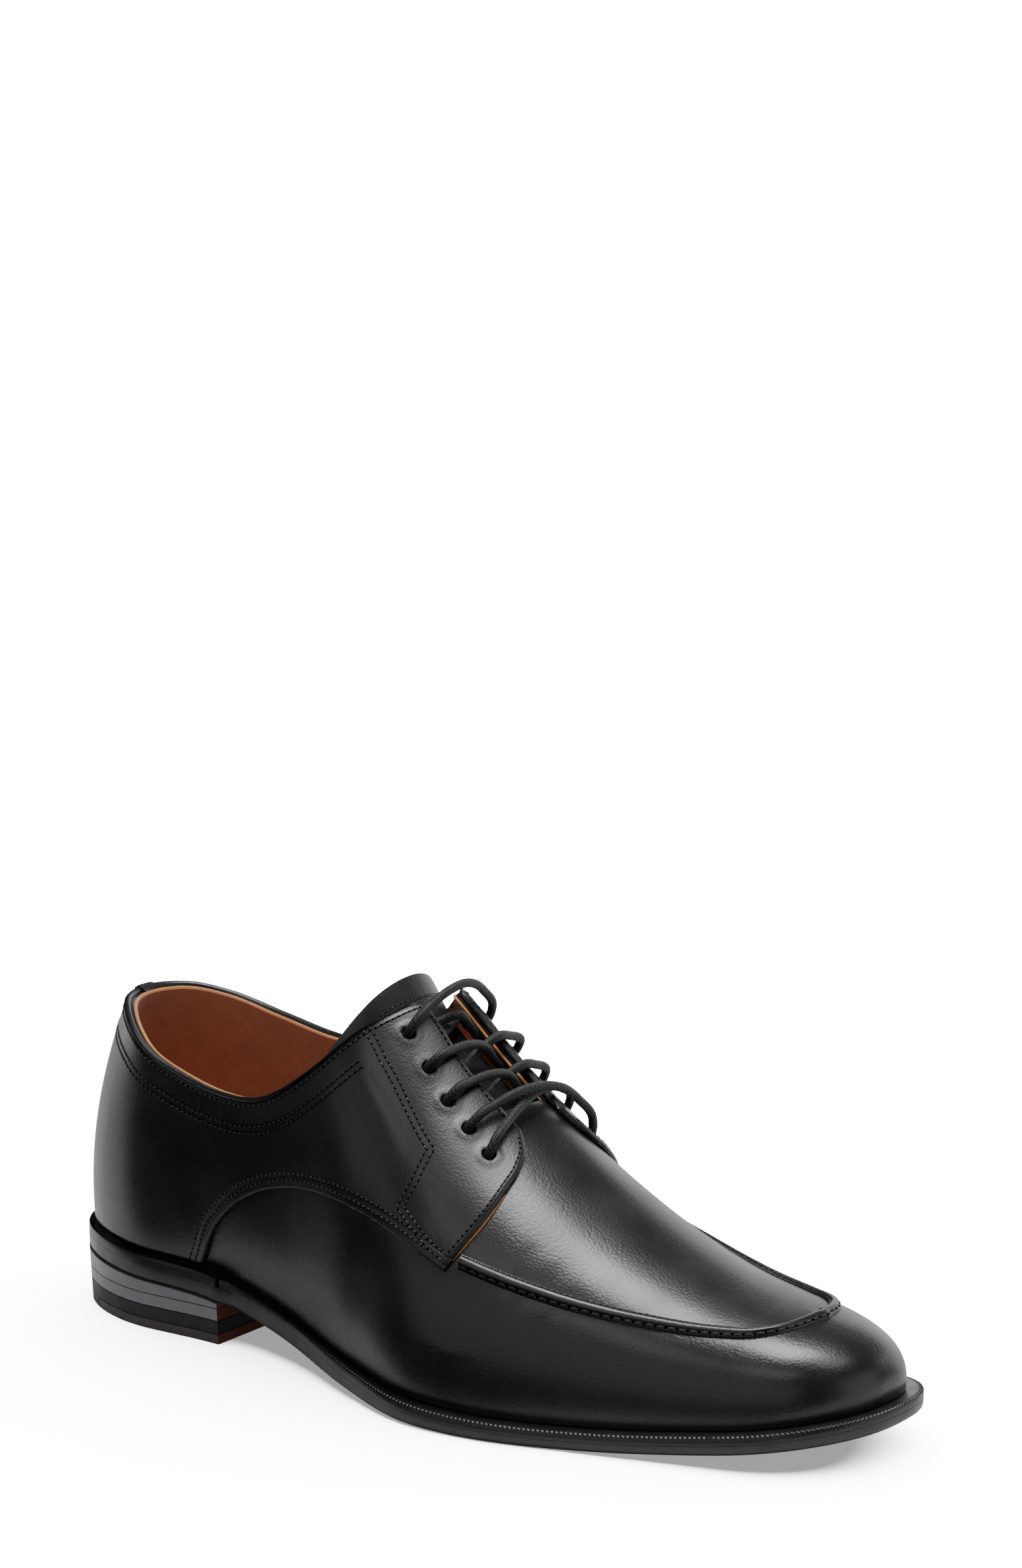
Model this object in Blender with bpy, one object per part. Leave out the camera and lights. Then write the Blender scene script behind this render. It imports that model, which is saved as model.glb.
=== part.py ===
"""Apron toe derby, right shoe: a hollow leather upper on a welted sole with a stacked heel.

Metres, +Z up, toe towards +X, outer (lateral) side towards -Y, the floor at z = 0.
"""
import functools
import math

import bmesh
import bpy
import numpy as np

# Driving dimensions, metres
SOLE_LENGTH = 0.3065        # heel back to toe tip
BALL_WIDTH = 0.106          # widest across the ball, measured on the sole
HEEL_HEIGHT = 0.0185        # underside of the sole above the floor at the heel back
TOE_SPRING = 0.012          # underside of the sole above the floor at the toe tip
INSTEP_HEIGHT = 0.091       # top ridge above the welt under the middle of the lacing
COLLAR_HEIGHT = 0.0765      # collar edge above the welt at the heel back
OUTSOLE_THICKNESS = 0.0053  # at the heel; the forefoot is thinner
WELT_THICKNESS = 0.0027
INSOLE_RISE = 0.002         # insole top above the welt
SEAT_STEP = 0.0016          # heel seat edge outside the waist edge
WALL = 0.0018               # vamp with its lining
QUARTER_THICKNESS = 0.0016  # quarters laid over the vamp
TONGUE_THICKNESS = 0.002
THROAT = 0.024              # between the two facings
THROAT_LENGTH = 0.034       # facing top to the rear edge of the vamp, along the sole
APRON_BEAD = 0.0050         # width of the raised apron seam
APRON_RISE = 0.0014         # its height over the vamp
BEAD_EDGE = 0.25            # its height at its two edges, share of that height
BACK_STRIP = 0.014          # width of the strip on the heel back
BACK_STRIP_DROP = 0.022     # its length down from the collar
BACK_STRIP_THICKNESS = 0.0009
LACE = 0.003                # lace diameter
EYELET = 0.0046             # eyelet hole diameter
EYELET_INSET = 0.0125       # top hole from the facing edge
EYELET_SPREAD = 0.0040      # how much further in the lowest hole lies
EYELET_COUNT = 5
EYELETS_FRONT = 0.556       # lowest and top pair of holes, shares of the length
EYELETS_BACK = 0.438
BREAST = 0.0725             # front face of the heel from the heel back
LIFT = 0.0039               # one leather lift of the heel
HEEL_RUBBER = 0.0043
HEEL_TIP = 0.0032           # leather layer under the rubber
RUBBER_CORNER = 0.0165      # length of the rubber corner that reaches the floor
HEEL_TAPER = 0.0010         # how far the heel narrows on the way down
EDGE_ROUND = 0.0007         # rounding of the trimmed sole edges
GAP = 0.0003                # clearance between pieces that meet
QUARTER_FOOT = 0.0013       # quarters end above the welt, because their foot leans out over it
SKIN_GAP = 0.0005           # clearance between curved skins, which lie on flat facets
LACE_TURN = 0.0014          # extra height where the lace turns out of a hole
LACE_GAP = 0.0006           # clearance between the lace and the facings

# Lace middle over and under the facings, from the vamp's outer face
OVER = SKIN_GAP + QUARTER_THICKNESS + LACE_GAP + LACE / 2
UNDER = WALL + LACE_GAP + LACE / 2

SEAT_RUN = 0.0048           # stretch on which the seat edge falls back to the waist edge
RAND_BACK = 0.0004          # the seat's strip ends behind the heel breast
WELT_START = 0.0011         # the welt starts in front of it
CROSS_ARCH = 0.3            # crossings of the lace bulge by this share of its diameter
BAR_ARCH = 1.6              # the top bar stands up by this many diameters

# Where along the sole the round ends begin, as shares of its length
HEEL_END = 0.15
TOE_END = 0.86
RIDGE_END = 0.880           # the top ridge ends over the toe
HEEL_ROUND = 2.1            # superellipse powers of the two round ends
TOE_ROUND = 2.5
TOE_AXIS = 0.072            # toe tip towards the inner side, share of the ball width
HEEL_TURN = 0.2             # shares of one side's trip round the shoe spent on the two ends
TOE_TURN = 0.8
FLAT_SPOT = (0.60, 0.67)    # stretch of the forefoot that lies on the floor
SPRING_POWER = 1.8
FACING_TOP = 0.43           # top corner of the facings
QUARTER_FRONT = 0.590       # front edge of the quarters at its foremost
CORNER = (0.09, 0.02)       # stretch behind and before it where collar and facing edge run together
CORNER_BLEND = 0.018        # softness of that corner, share of a rib
HOLE_SHARE = 0.06           # share of a lace span that lies at each of its holes

# Rows of points across the pieces
UPPER_ROWS = 11
QUARTER_ROWS = 10
STRIP_ROWS = 6
SEAM_ROWS = 5
TONGUE_ROWS = 12
TONGUE_LINES = 13
LACE_SIDES = 6
PUNCH_SIDES = 10

SIDES = (-1, 1)             # lateral, medial


class Table:
    """Rows of numbers under named columns, read smoothly at any share between its rows."""

    def __init__(self, columns, *rows):
        self.columns = columns.split()
        self.rows = rows

    def slope(self, index, column):
        rows = self.rows
        if index == 0 or index == len(rows) - 1:
            low = min(index, len(rows) - 2)
            return (rows[low + 1][column] - rows[low][column]) / (rows[low + 1][0] - rows[low][0])
        before, here, after = rows[index - 1:index + 2]
        left = (here[column] - before[column]) / (here[0] - before[0])
        right = (after[column] - here[column]) / (after[0] - here[0])
        weight = (here[0] - before[0]) / (after[0] - before[0])
        return left * (1 - weight) + right * weight

    def at(self, share, name):
        column = self.columns.index(name)
        rows = self.rows
        share = min(max(share, rows[0][0]), rows[-1][0])
        index = 0
        while index < len(rows) - 2 and share > rows[index + 1][0]:
            index += 1
        low, high = rows[index], rows[index + 1]
        span = high[0] - low[0]
        t = (share - low[0]) / span
        start = self.slope(index, column) * span
        end = self.slope(index + 1, column) * span
        return ((2 * t ** 3 - 3 * t ** 2 + 1) * low[column] + (t ** 3 - 2 * t ** 2 + t) * start
                + (3 * t ** 2 - 2 * t ** 3) * high[column] + (t ** 3 - t ** 2) * end)


# Half widths of the sole and the line of the top ridge, shares of the ball width
PLAN = Table("share lateral medial ridge",
             (0.00, 0.290, 0.290, 0.000),
             (0.12, 0.305, 0.300, 0.000),
             (0.24, 0.300, 0.290, 0.012),
             (0.34, 0.350, 0.270, 0.045),
             (0.44, 0.460, 0.290, 0.068),
             (0.54, 0.550, 0.370, 0.072),
             (0.62, 0.540, 0.440, 0.070),
             (0.72, 0.460, 0.475, 0.066),
             (0.83, 0.370, 0.450, 0.068),
             (0.92, 0.305, 0.400, 0.072),
             (1.00, 0.240, 0.350, 0.072))
# Underside of the sole behind the flat spot, shares of the heel height
SOLE_LINE = Table("share height",
                  (0.00, 1.000), (0.12, 0.900), (0.23, 0.780), (0.30, 0.570), (0.38, 0.320),
                  (0.46, 0.130), (0.54, 0.025), (0.60, 0.000))
OUTSOLE_LINE = Table("share thickness", (0.00, 1.0), (0.30, 1.0), (0.45, 0.86), (0.60, 0.64), (1.00, 0.64))
# Upper's lower edge inside the sole edge, metres
LEDGE = Table("share inset",
              (0.00, 0.0026), (0.20, 0.0030), (0.40, 0.0032), (0.60, 0.0052), (1.00, 0.0056))
# Top ridge above the welt, shares of the instep height
RIDGE = Table("share height",
              (0.000, 1.110), (0.300, 1.230), (0.400, 1.236), (0.433, 1.160), (0.490, 1.000),
              (0.547, 0.860), (0.600, 0.747), (0.663, 0.620), (0.700, 0.552), (0.757, 0.458),
              (0.800, 0.398), (0.843, 0.350), (0.877, 0.315), (0.930, 0.266))
# Cross sections of the upper: four handles of each rib, out from the ridge line as shares of
# the reach to the lower edge, and up as shares of the ridge height
LATERAL_RIBS = Table("share w1 h1 w2 h2 w3 h3 w4",
                     (0.00, 1.02, 0.14, 1.02, 0.40, 0.82, 0.62, 0.42),
                     (0.08, 1.07, 0.15, 1.08, 0.40, 0.93, 0.64, 0.56),
                     (0.15, 1.12, 0.16, 1.14, 0.40, 1.04, 0.66, 0.76),
                     (0.24, 1.16, 0.16, 1.20, 0.40, 1.10, 0.68, 0.72),
                     (0.34, 1.12, 0.18, 1.14, 0.46, 0.94, 0.82, 0.30),
                     (0.40, 1.08, 0.20, 1.08, 0.52, 0.72, 1.00, 0.00),
                     (0.50, 1.06, 0.22, 1.02, 0.56, 0.62, 1.00, 0.00),
                     (0.60, 1.05, 0.26, 1.00, 0.64, 0.58, 1.00, 0.00),
                     (0.72, 1.04, 0.32, 0.98, 0.75, 0.58, 1.00, 0.00),
                     (0.86, 1.04, 0.38, 0.94, 0.84, 0.58, 1.00, 0.00),
                     (1.00, 1.05, 0.40, 0.92, 0.84, 0.58, 1.00, 0.00))
MEDIAL_RIBS = Table("share w1 h1 w2 h2 w3 h3 w4",
                    (0.00, 1.02, 0.14, 1.02, 0.40, 0.82, 0.62, 0.42),
                    (0.08, 1.07, 0.15, 1.08, 0.40, 0.93, 0.64, 0.56),
                    (0.15, 1.12, 0.16, 1.14, 0.40, 1.04, 0.66, 0.76),
                    (0.24, 1.20, 0.16, 1.30, 0.40, 1.18, 0.70, 0.74),
                    (0.34, 1.36, 0.18, 1.72, 0.46, 1.50, 0.84, 0.50),
                    (0.40, 1.40, 0.20, 1.92, 0.50, 1.58, 1.00, 0.00),
                    (0.50, 1.26, 0.22, 1.58, 0.54, 1.28, 1.00, 0.00),
                    (0.60, 1.12, 0.26, 1.16, 0.62, 0.88, 1.00, 0.00),
                    (0.72, 1.05, 0.32, 1.00, 0.74, 0.64, 1.00, 0.00),
                    (0.86, 1.04, 0.38, 0.94, 0.84, 0.58, 1.00, 0.00),
                    (1.00, 1.05, 0.40, 0.92, 0.84, 0.58, 1.00, 0.00))
# Collar edge above the welt, shares of the collar height
COLLAR = Table("share lateral medial",
               (0.00, 1.000, 1.000), (0.05, 0.990, 0.995), (0.10, 0.945, 0.965),
               (0.17, 0.845, 0.900), (0.24, 0.805, 0.870), (0.30, 0.870, 0.920),
               (0.36, 1.080, 1.090), (0.40, 1.270, 1.270), (0.44, 1.420, 1.420))
# Lower edge of the quarters above the welt, shares of the instep height
QUARTER_ARC = Table("share height",
                    (0.207, 0.000), (0.214, 0.045), (0.227, 0.145), (0.252, 0.262), (0.287, 0.372),
                    (0.331, 0.460), (0.392, 0.526), (0.470, 0.530), (0.525, 0.492), (0.590, 0.420))
# Front edge of the quarters, from its lower corner up, as the share of the length it falls back
QUARTER_EDGE = Table("up back",
                     (0.00, 0.022), (0.17, 0.012), (0.40, 0.002), (0.65, 0.000), (0.82, 0.004),
                     (0.93, 0.014), (1.00, 0.030))
# Apron seam, as the share of each rib from the lower edge to the ridge, by the trip round
APRON = Table("turn lateral medial",
              (0.540, 0.498, 0.550), (0.620, 0.518, 0.575), (0.680, 0.541, 0.610),
              (0.735, 0.583, 0.650), (0.780, 0.628, 0.668), (0.805, 0.670, 0.690),
              (0.830, 0.722, 0.727), (0.860, 0.782, 0.784), (0.900, 0.843, 0.843),
              (0.945, 0.886, 0.886), (1.000, 0.905, 0.905))
# Tongue: half width in metres and depth under the facings, from its front to its top edge
TONGUE = Table("along reach depth",
               (0.00, 0.027, 0.0), (0.16, 0.031, 1.0), (0.50, 0.034, 1.0), (0.80, 0.036, 1.0),
               (1.00, 0.038, 0.1))
TONGUE_FRONT = 0.592        # share of the length where the tongue starts under the vamp
TONGUE_TOP = 0.402
TONGUE_FALL = 0.045         # how far its top edge falls back at the sides


# Plan and side profile of the sole
def sole_underside(share):
    if share <= FLAT_SPOT[0]:
        return HEEL_HEIGHT * SOLE_LINE.at(share, "height")
    beyond = max(share - FLAT_SPOT[1], 0.0) / (1 - FLAT_SPOT[1])
    return TOE_SPRING * beyond ** SPRING_POWER


def outsole_top(share):
    return sole_underside(share) + OUTSOLE_THICKNESS * OUTSOLE_LINE.at(share, "thickness")


def welt_top(share):
    return outsole_top(share) + GAP + WELT_THICKNESS


def lower_edge(share):
    return welt_top(share) + GAP


def plan(side, turn):
    """Edge of the sole in plan; turn runs 0 to 1 from the heel back to the toe tip."""
    half = "lateral" if side < 0 else "medial"
    if turn < HEEL_TURN:
        angle = math.pi / 2 * turn / HEEL_TURN
        share = HEEL_END * (1 - math.cos(angle) ** (2 / HEEL_ROUND))
        out = PLAN.at(share, half) * math.sin(angle) ** (2 / HEEL_ROUND)
        return np.array([share * SOLE_LENGTH, side * out * BALL_WIDTH])
    if turn <= TOE_TURN:
        share = HEEL_END + (TOE_END - HEEL_END) * (turn - HEEL_TURN) / (TOE_TURN - HEEL_TURN)
        return np.array([share * SOLE_LENGTH, side * PLAN.at(share, half) * BALL_WIDTH])
    angle = math.pi / 2 * (turn - TOE_TURN) / (1 - TOE_TURN)
    share = TOE_END + (1 - TOE_END) * math.sin(angle) ** (2 / TOE_ROUND)
    shrink = max(math.cos(angle), 0.0) ** (2 / TOE_ROUND)
    out = TOE_AXIS + (side * PLAN.at(share, half) - TOE_AXIS) * shrink
    return np.array([share * SOLE_LENGTH, out * BALL_WIDTH])


def turn_at(share):
    """The turn at which the straight stretch of the plan passes a share of the length."""
    return HEEL_TURN + (TOE_TURN - HEEL_TURN) * (share - HEEL_END) / (TOE_END - HEEL_END)


def turn_at_length(length):
    return turn_at(length / SOLE_LENGTH)


@functools.lru_cache(maxsize=None)
def plan_inset(side, turn, inset):
    """Edge of the sole moved inwards, square to itself."""
    step = 0.004
    along = plan(side, min(turn + step, 1.0)) - plan(side, max(turn - step, 0.0))
    if turn <= 0.0:
        along = np.array([0.0, float(side)])
    if turn >= 1.0:
        along = np.array([0.0, -float(side)])
    inward = np.array([along[1], -along[0]]) * side / np.linalg.norm(along)
    return plan(side, turn) + inward * inset


def share_of(point):
    return min(max(point[0] / SOLE_LENGTH, 0.0), 1.0)


def sole_edge(side, turn, inset=0.0):
    """Edge of the outsole, with the wider seat over the heel."""
    beyond = (plan(side, turn)[0] - BREAST) / SEAT_RUN
    seat = SEAT_STEP * min(max(1 - beyond, 0.0), 1.0)
    return plan_inset(side, turn, inset - seat)


# The upper's surface
@functools.lru_cache(maxsize=None)
def rib(side, turn):
    """Five handles of the rib that rises from the lower edge to the top ridge."""
    edge = plan(side, turn)
    share = share_of(edge)
    foot = plan_inset(side, turn, LEDGE.at(share, "inset"))
    if turn < HEEL_TURN:
        top_share = HEEL_END
        axis = np.array([HEEL_END * SOLE_LENGTH, 0.0])
        height_share = share
    else:
        top_share = share
        if turn > TOE_TURN:
            slide = (turn - TOE_TURN) / (1 - TOE_TURN)
            top_share = TOE_END + (RIDGE_END - TOE_END) * slide
        axis = np.array([top_share * SOLE_LENGTH, PLAN.at(top_share, "ridge") * BALL_WIDTH])
        height_share = top_share
    reach = np.linalg.norm(foot - axis)
    out = (foot - axis) / reach
    floor = lower_edge(share_of(foot))
    rise = INSTEP_HEIGHT * RIDGE.at(height_share, "height") + lower_edge(height_share) - floor
    fall = 0.0
    if turn > TOE_TURN:
        step = 0.01
        ahead = min(top_share + step, RIDGE_END)
        behind = top_share - step
        ridge = [INSTEP_HEIGHT * RIDGE.at(s, "height") + lower_edge(s) for s in (behind, ahead)]
        fall = (ridge[1] - ridge[0]) / ((ahead - behind) * SOLE_LENGTH)
    ribs = LATERAL_RIBS if side < 0 else MEDIAL_RIBS
    widths = [1.0] + [ribs.at(share, "w%d" % k) for k in (1, 2, 3, 4)]
    heights = [0.0] + [ribs.at(share, "h%d" % k) for k in (1, 2, 3)] + [1.0]
    lean = (0.0, 0.0, 0.5, 1.0, 1.0)
    handles = []
    for width, height, share_lean in zip(widths, heights, lean):
        spot = axis + out * width * reach
        handles.append((spot[0], spot[1],
                        floor + height * rise + share_lean * fall * (spot[0] - axis[0])))
    return np.array(handles)


def surface(side, turn, up):
    """Outer face of the vamp; up runs 0 to 1 from the lower edge to the top ridge."""
    handles = rib(side, turn)
    return sum(math.comb(4, k) * up ** k * (1 - up) ** (4 - k) * handles[k] for k in range(5))


def rise_direction(side, turn, up):
    handles = rib(side, turn)
    steps = handles[1:] - handles[:-1]
    return sum(math.comb(3, k) * up ** k * (1 - up) ** (3 - k) * steps[k] for k in range(4))


def normal(side, turn, up):
    step = 0.002
    low, high = max(turn - step, 0.0), min(turn + step, 1.0)
    along = surface(side, high, up) - surface(side, low, up)
    across = np.cross(along, rise_direction(side, turn, up)) * -side
    if turn <= 0.0 or turn >= 1.0:
        across[1] = 0.0
    return across / np.linalg.norm(across)


def lifted(side, turn, up, lift):
    """A point of the vamp's outer face, moved off it by a lift."""
    return surface(side, turn, up) + normal(side, turn, up) * lift


def solve(test, low=0.0, high=1.0):
    """Where a test that starts false turns true."""
    for _ in range(30):
        middle = (low + high) / 2
        if test(middle):
            high = middle
        else:
            low = middle
    return (low + high) / 2


@functools.lru_cache(maxsize=None)
def up_at_height(side, turn, height):
    """Where a rib reaches a height above the welt."""
    if height <= 0.0:
        return 0.0
    target = height + lower_edge(share_of(plan(side, turn)))
    return solve(lambda up: surface(side, turn, up)[2] > target)


@functools.lru_cache(maxsize=None)
def up_at_reach(side, turn, reach):
    """Where a rib, followed down from the ridge over the leather, is a distance away from it."""
    steps = 60
    run, last = 0.0, surface(side, turn, 1.0)
    for step in range(1, steps):
        here = surface(side, turn, 1 - step / steps)
        stride = np.linalg.norm(here - last)
        if run + stride >= reach:
            return 1 - (step - 1 + (reach - run) / stride) / steps
        run += stride
        last = here
    return 1 / steps


@functools.lru_cache(maxsize=None)
def rim(side, turn):
    """Upper limit of the quarters on a rib: the collar edge or the facing edge."""
    share = share_of(plan(side, turn))
    half = "lateral" if side < 0 else "medial"
    facing = up_at_reach(side, turn, THROAT / 2) if share > HEEL_END else 1.0
    if share > FACING_TOP + CORNER[1]:
        return facing
    collar = up_at_height(side, turn, COLLAR_HEIGHT * COLLAR.at(share, half))
    if share < FACING_TOP - CORNER[0]:
        return collar
    low, high = min(collar, facing), max(collar, facing)
    return low - CORNER_BLEND * math.log(1 + math.exp((low - high) / CORNER_BLEND))


def throat_end():
    return FACING_TOP + THROAT_LENGTH / SOLE_LENGTH


# Solids from points
def finish_mesh(name, bm, leather, sharp_degrees=35):
    merge = 2e-5
    bmesh.ops.remove_doubles(bm, verts=bm.verts, dist=merge)
    bmesh.ops.recalc_face_normals(bm, faces=bm.faces)
    mesh = bpy.data.meshes.new(name)
    bm.to_mesh(mesh)
    bm.free()
    mesh.shade_smooth()
    mesh.set_sharp_from_angle(angle=math.radians(sharp_degrees))
    mesh.materials.append(leather)
    piece = bpy.data.objects.new(name, mesh)
    bpy.context.scene.collection.objects.link(piece)
    return piece


def sheet(name, outer, inner, leather, around=False, sealed=()):
    """A closed skin between two grids of points.

    The first index runs along the piece and the second across it. Around joins the last row
    to the first. Sealed rows have no edge face at their upper end, because the other half of
    the piece meets them there.
    """
    bm = bmesh.new()
    faces = [[[bm.verts.new(p) for p in row] for row in grid] for grid in (outer, inner)]
    top, under = faces
    rows, columns = len(outer), len(outer[0])
    for i in range(rows if around else rows - 1):
        j_next = (i + 1) % rows
        for k in range(columns - 1):
            bm.faces.new((top[i][k], top[j_next][k], top[j_next][k + 1], top[i][k + 1]))
            bm.faces.new((under[i][k + 1], under[j_next][k + 1], under[j_next][k], under[i][k]))
        bm.faces.new((top[i][0], under[i][0], under[j_next][0], top[j_next][0]))
        if i not in sealed or j_next not in sealed:
            bm.faces.new((top[i][-1], top[j_next][-1], under[j_next][-1], under[i][-1]))
    if not around:
        for i in (0, rows - 1):
            for k in range(columns - 1):
                bm.faces.new((top[i][k], top[i][k + 1], under[i][k + 1], under[i][k]))
    return finish_mesh(name, bm, leather)


def sweep(name, rings, leather):
    """A solid along a run of equal rings, with both ends closed."""
    bm = bmesh.new()
    loops = [[bm.verts.new(p) for p in ring] for ring in rings]
    count = len(rings[0])
    for low, high in zip(loops, loops[1:]):
        for k in range(count):
            bm.faces.new((low[k], low[(k + 1) % count], high[(k + 1) % count], high[k]))
    bm.faces.new(list(reversed(loops[0])))
    bm.faces.new(loops[-1])
    return finish_mesh(name, bm, leather)


def slab(name, levels, leather):
    """A solid layer; each level is a pair of lateral and medial edge lines from back to front.

    The caps run straight across from one edge line to the other.
    """
    bm = bmesh.new()
    lines = [[[bm.verts.new(p) for p in line] for line in level] for level in levels]
    count = len(levels[0][0])
    for cap in (lines[0], lines[-1]):
        for k in range(count - 1):
            bm.faces.new((cap[0][k], cap[0][k + 1], cap[1][k + 1], cap[1][k]))
    for low, high in zip(lines, lines[1:]):
        for side in (0, 1):
            for k in range(count - 1):
                bm.faces.new((low[side][k], low[side][k + 1], high[side][k + 1], high[side][k]))
        for k in (0, count - 1):
            bm.faces.new((low[0][k], high[0][k], high[1][k], low[1][k]))
    bmesh.ops.dissolve_degenerate(bm, dist=1e-6, edges=bm.edges)
    return finish_mesh(name, bm, leather)


def apply_cut(piece, cutter):
    """Keeps the cutter as a hidden guide of a Boolean on the piece."""
    cutter.hide_render = True
    cutter.display_type = 'WIRE'
    cut = piece.modifiers.new("cut", 'BOOLEAN')
    cut.operation = 'DIFFERENCE'
    cut.solver = 'EXACT'
    cut.object = cutter


def make_material(name, colour, roughness):
    """A plain material; colours are linear."""
    made = bpy.data.materials.new(name)
    made.use_nodes = True
    shader = made.node_tree.nodes["Principled BSDF"]
    shader.inputs["Base Color"].default_value = (*colour, 1.0)
    shader.inputs["Roughness"].default_value = roughness
    return made


def turns(start, stop, count):
    return [float(t) for t in np.linspace(start, stop, count)]


def half_round(heel, middle, toe):
    """Turns from the heel back to the toe tip, with a number of lines on each stretch."""
    return turns(0, HEEL_TURN, heel) + turns(HEEL_TURN, TOE_TURN, middle)[1:] + turns(TOE_TURN, 1, toe)[1:]


# Sole
def edge_line(side, stations, inset, height):
    """An edge line of the sole; height gives z from the share of the length."""
    points = [sole_edge(side, turn, inset) for turn in stations]
    return [(p[0], p[1], height(share_of(p))) for p in points]


def make_outsole(leather):
    stations = half_round(8, 26, 9)

    def level(inset, from_underside, lift):
        base = sole_underside if from_underside else outsole_top
        return [edge_line(side, stations, inset, lambda s: base(s) + lift) for side in SIDES]

    levels = [level(EDGE_ROUND, True, 0.0), level(0.0, True, EDGE_ROUND),
              level(0.0, False, -EDGE_ROUND / 2), level(EDGE_ROUND / 2, False, 0.0)]
    return slab("outsole", levels, leather)


def rim_rings(path, inner_inset):
    """Rings of a strip that lies on the outsole, flush with its edge."""
    rings = []
    for side, turn in path:
        ring = []
        for inset, base, lift in ((EDGE_ROUND / 2, outsole_top, GAP),
                                  (0.0, outsole_top, GAP + EDGE_ROUND / 2),
                                  (0.0, welt_top, -EDGE_ROUND),
                                  (EDGE_ROUND, welt_top, 0.0),
                                  (None, welt_top, 0.0),
                                  (None, outsole_top, GAP)):
            if inset is None:
                share = share_of(plan(side, turn))
                spot = plan_inset(side, turn, LEDGE.at(share, "inset") + inner_inset)
            else:
                spot = sole_edge(side, turn, inset)
            ring.append((spot[0], spot[1], base(share_of(spot)) + lift))
        rings.append(ring)
    return rings


def make_welt(leather):
    start = turn_at_length(BREAST + WELT_START)
    one_side = turns(start, TOE_TURN, 22) + turns(TOE_TURN, 1, 9)[1:]
    path = [(-1, t) for t in one_side] + [(1, t) for t in reversed(one_side[:-1])]
    return sweep("welt", rim_rings(path, WALL + GAP), leather)


def make_seat_rand(leather):
    one_side = turns(0, HEEL_TURN, 8) + turns(HEEL_TURN, turn_at_length(BREAST - RAND_BACK), 5)[1:]
    path = [(-1, t) for t in reversed(one_side)] + [(1, t) for t in one_side[1:]]
    return sweep("heel_seat_rand", rim_rings(path, WALL + GAP), leather)


def make_insole(leather):
    stations = half_round(7, 20, 8)
    margin = WALL + 2 * GAP

    def line(side, extra, height):
        points = [plan_inset(side, t, LEDGE.at(share_of(plan(side, t)), "inset") + margin + extra)
                  for t in stations]
        return [(p[0], p[1], height(share_of(p))) for p in points]

    levels = []
    for extra, base, lift in ((0.0, outsole_top, GAP),
                              (0.0, welt_top, INSOLE_RISE - EDGE_ROUND),
                              (EDGE_ROUND, welt_top, INSOLE_RISE)):
        levels.append([line(side, extra, lambda s: base(s) + lift) for side in SIDES])
    return slab("insole", levels, leather)


# Stacked heel
def heel_level(height, start=0.0):
    """Edge lines of the heel, no further back than a start, at a height given by x."""
    end = turn_at_length(BREAST)
    first = 0.0 if start <= 0.0 else solve(lambda t: plan(-1, t)[0] > start, 0.0, end)
    stations = turns(first, HEEL_TURN, 8) + turns(HEEL_TURN, end, 4)[1:]
    lines = []
    for side in SIDES:
        line = []
        for turn in stations:
            down = 1 - height(plan(side, turn)[0]) / HEEL_HEIGHT
            spot = plan_inset(side, turn, HEEL_TAPER * down - SEAT_STEP)
            x = spot[0] if start <= 0.0 else max(spot[0], start)
            line.append((x, spot[1], height(x)))
        lines.append(line)
    return lines


def heel_layer(name, bottom, top, leather, start=0.0):
    return slab(name, [heel_level(bottom, start), heel_level(top, start)], leather)


def make_heel(leather, rubber, tip_leather):
    top_piece = HEEL_TIP + GAP + HEEL_RUBBER
    lift_top = top_piece + GAP + LIFT

    def seat(x):
        return sole_underside(max(x, 0.0) / SOLE_LENGTH) - GAP

    upper = heel_layer("heel_lift_upper", lambda x: lift_top + GAP, seat, leather)
    lower = heel_layer("heel_lift_lower", lambda x: top_piece + GAP, lambda x: lift_top, leather)
    tip = heel_layer("heel_tip_leather", lambda x: 0.0, lambda x: HEEL_TIP, tip_leather, RUBBER_CORNER)
    band = heel_layer("heel_rubber", lambda x: 0.0, lambda x: top_piece, rubber)
    bm = bmesh.new()
    bmesh.ops.create_cube(bm, size=1.0)
    room = finish_mesh("tip_room", bm, rubber)
    length = 2 * BREAST
    size = (length, BALL_WIDTH, 2 * (HEEL_TIP + GAP))
    for vertex in room.data.vertices:
        for axis in range(3):
            vertex.co[axis] *= size[axis]
        vertex.co[0] += RUBBER_CORNER - GAP + length / 2
    apply_cut(band, room)
    return [upper, lower, tip, band, room]


# Upper
def column(side, turn, low, high, lift, count):
    line = [lifted(side, turn, low + (high - low) * k / (count - 1), lift) for k in range(count)]
    if high >= 1.0:
        line[-1] = (line[-1] + lifted(-side, turn, 1.0, lift)) / 2
    return line


def rear_stations():
    """Turns of the skins' shared lines, from the heel back to the top of the facings."""
    arc_start, arc_end = turn_at(QUARTER_ARC.rows[0][0]), turn_at(QUARTER_ARC.rows[3][0])
    top_bend = turn_at(FACING_TOP - 0.05)
    return (turns(0, HEEL_TURN, 6) + turns(HEEL_TURN, arc_start, 3)[1:]
            + turns(arc_start, arc_end, 6)[1:] + turns(arc_end, top_bend, 5)[1:]
            + turns(top_bend, turn_at(FACING_TOP), 5)[1:])


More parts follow.
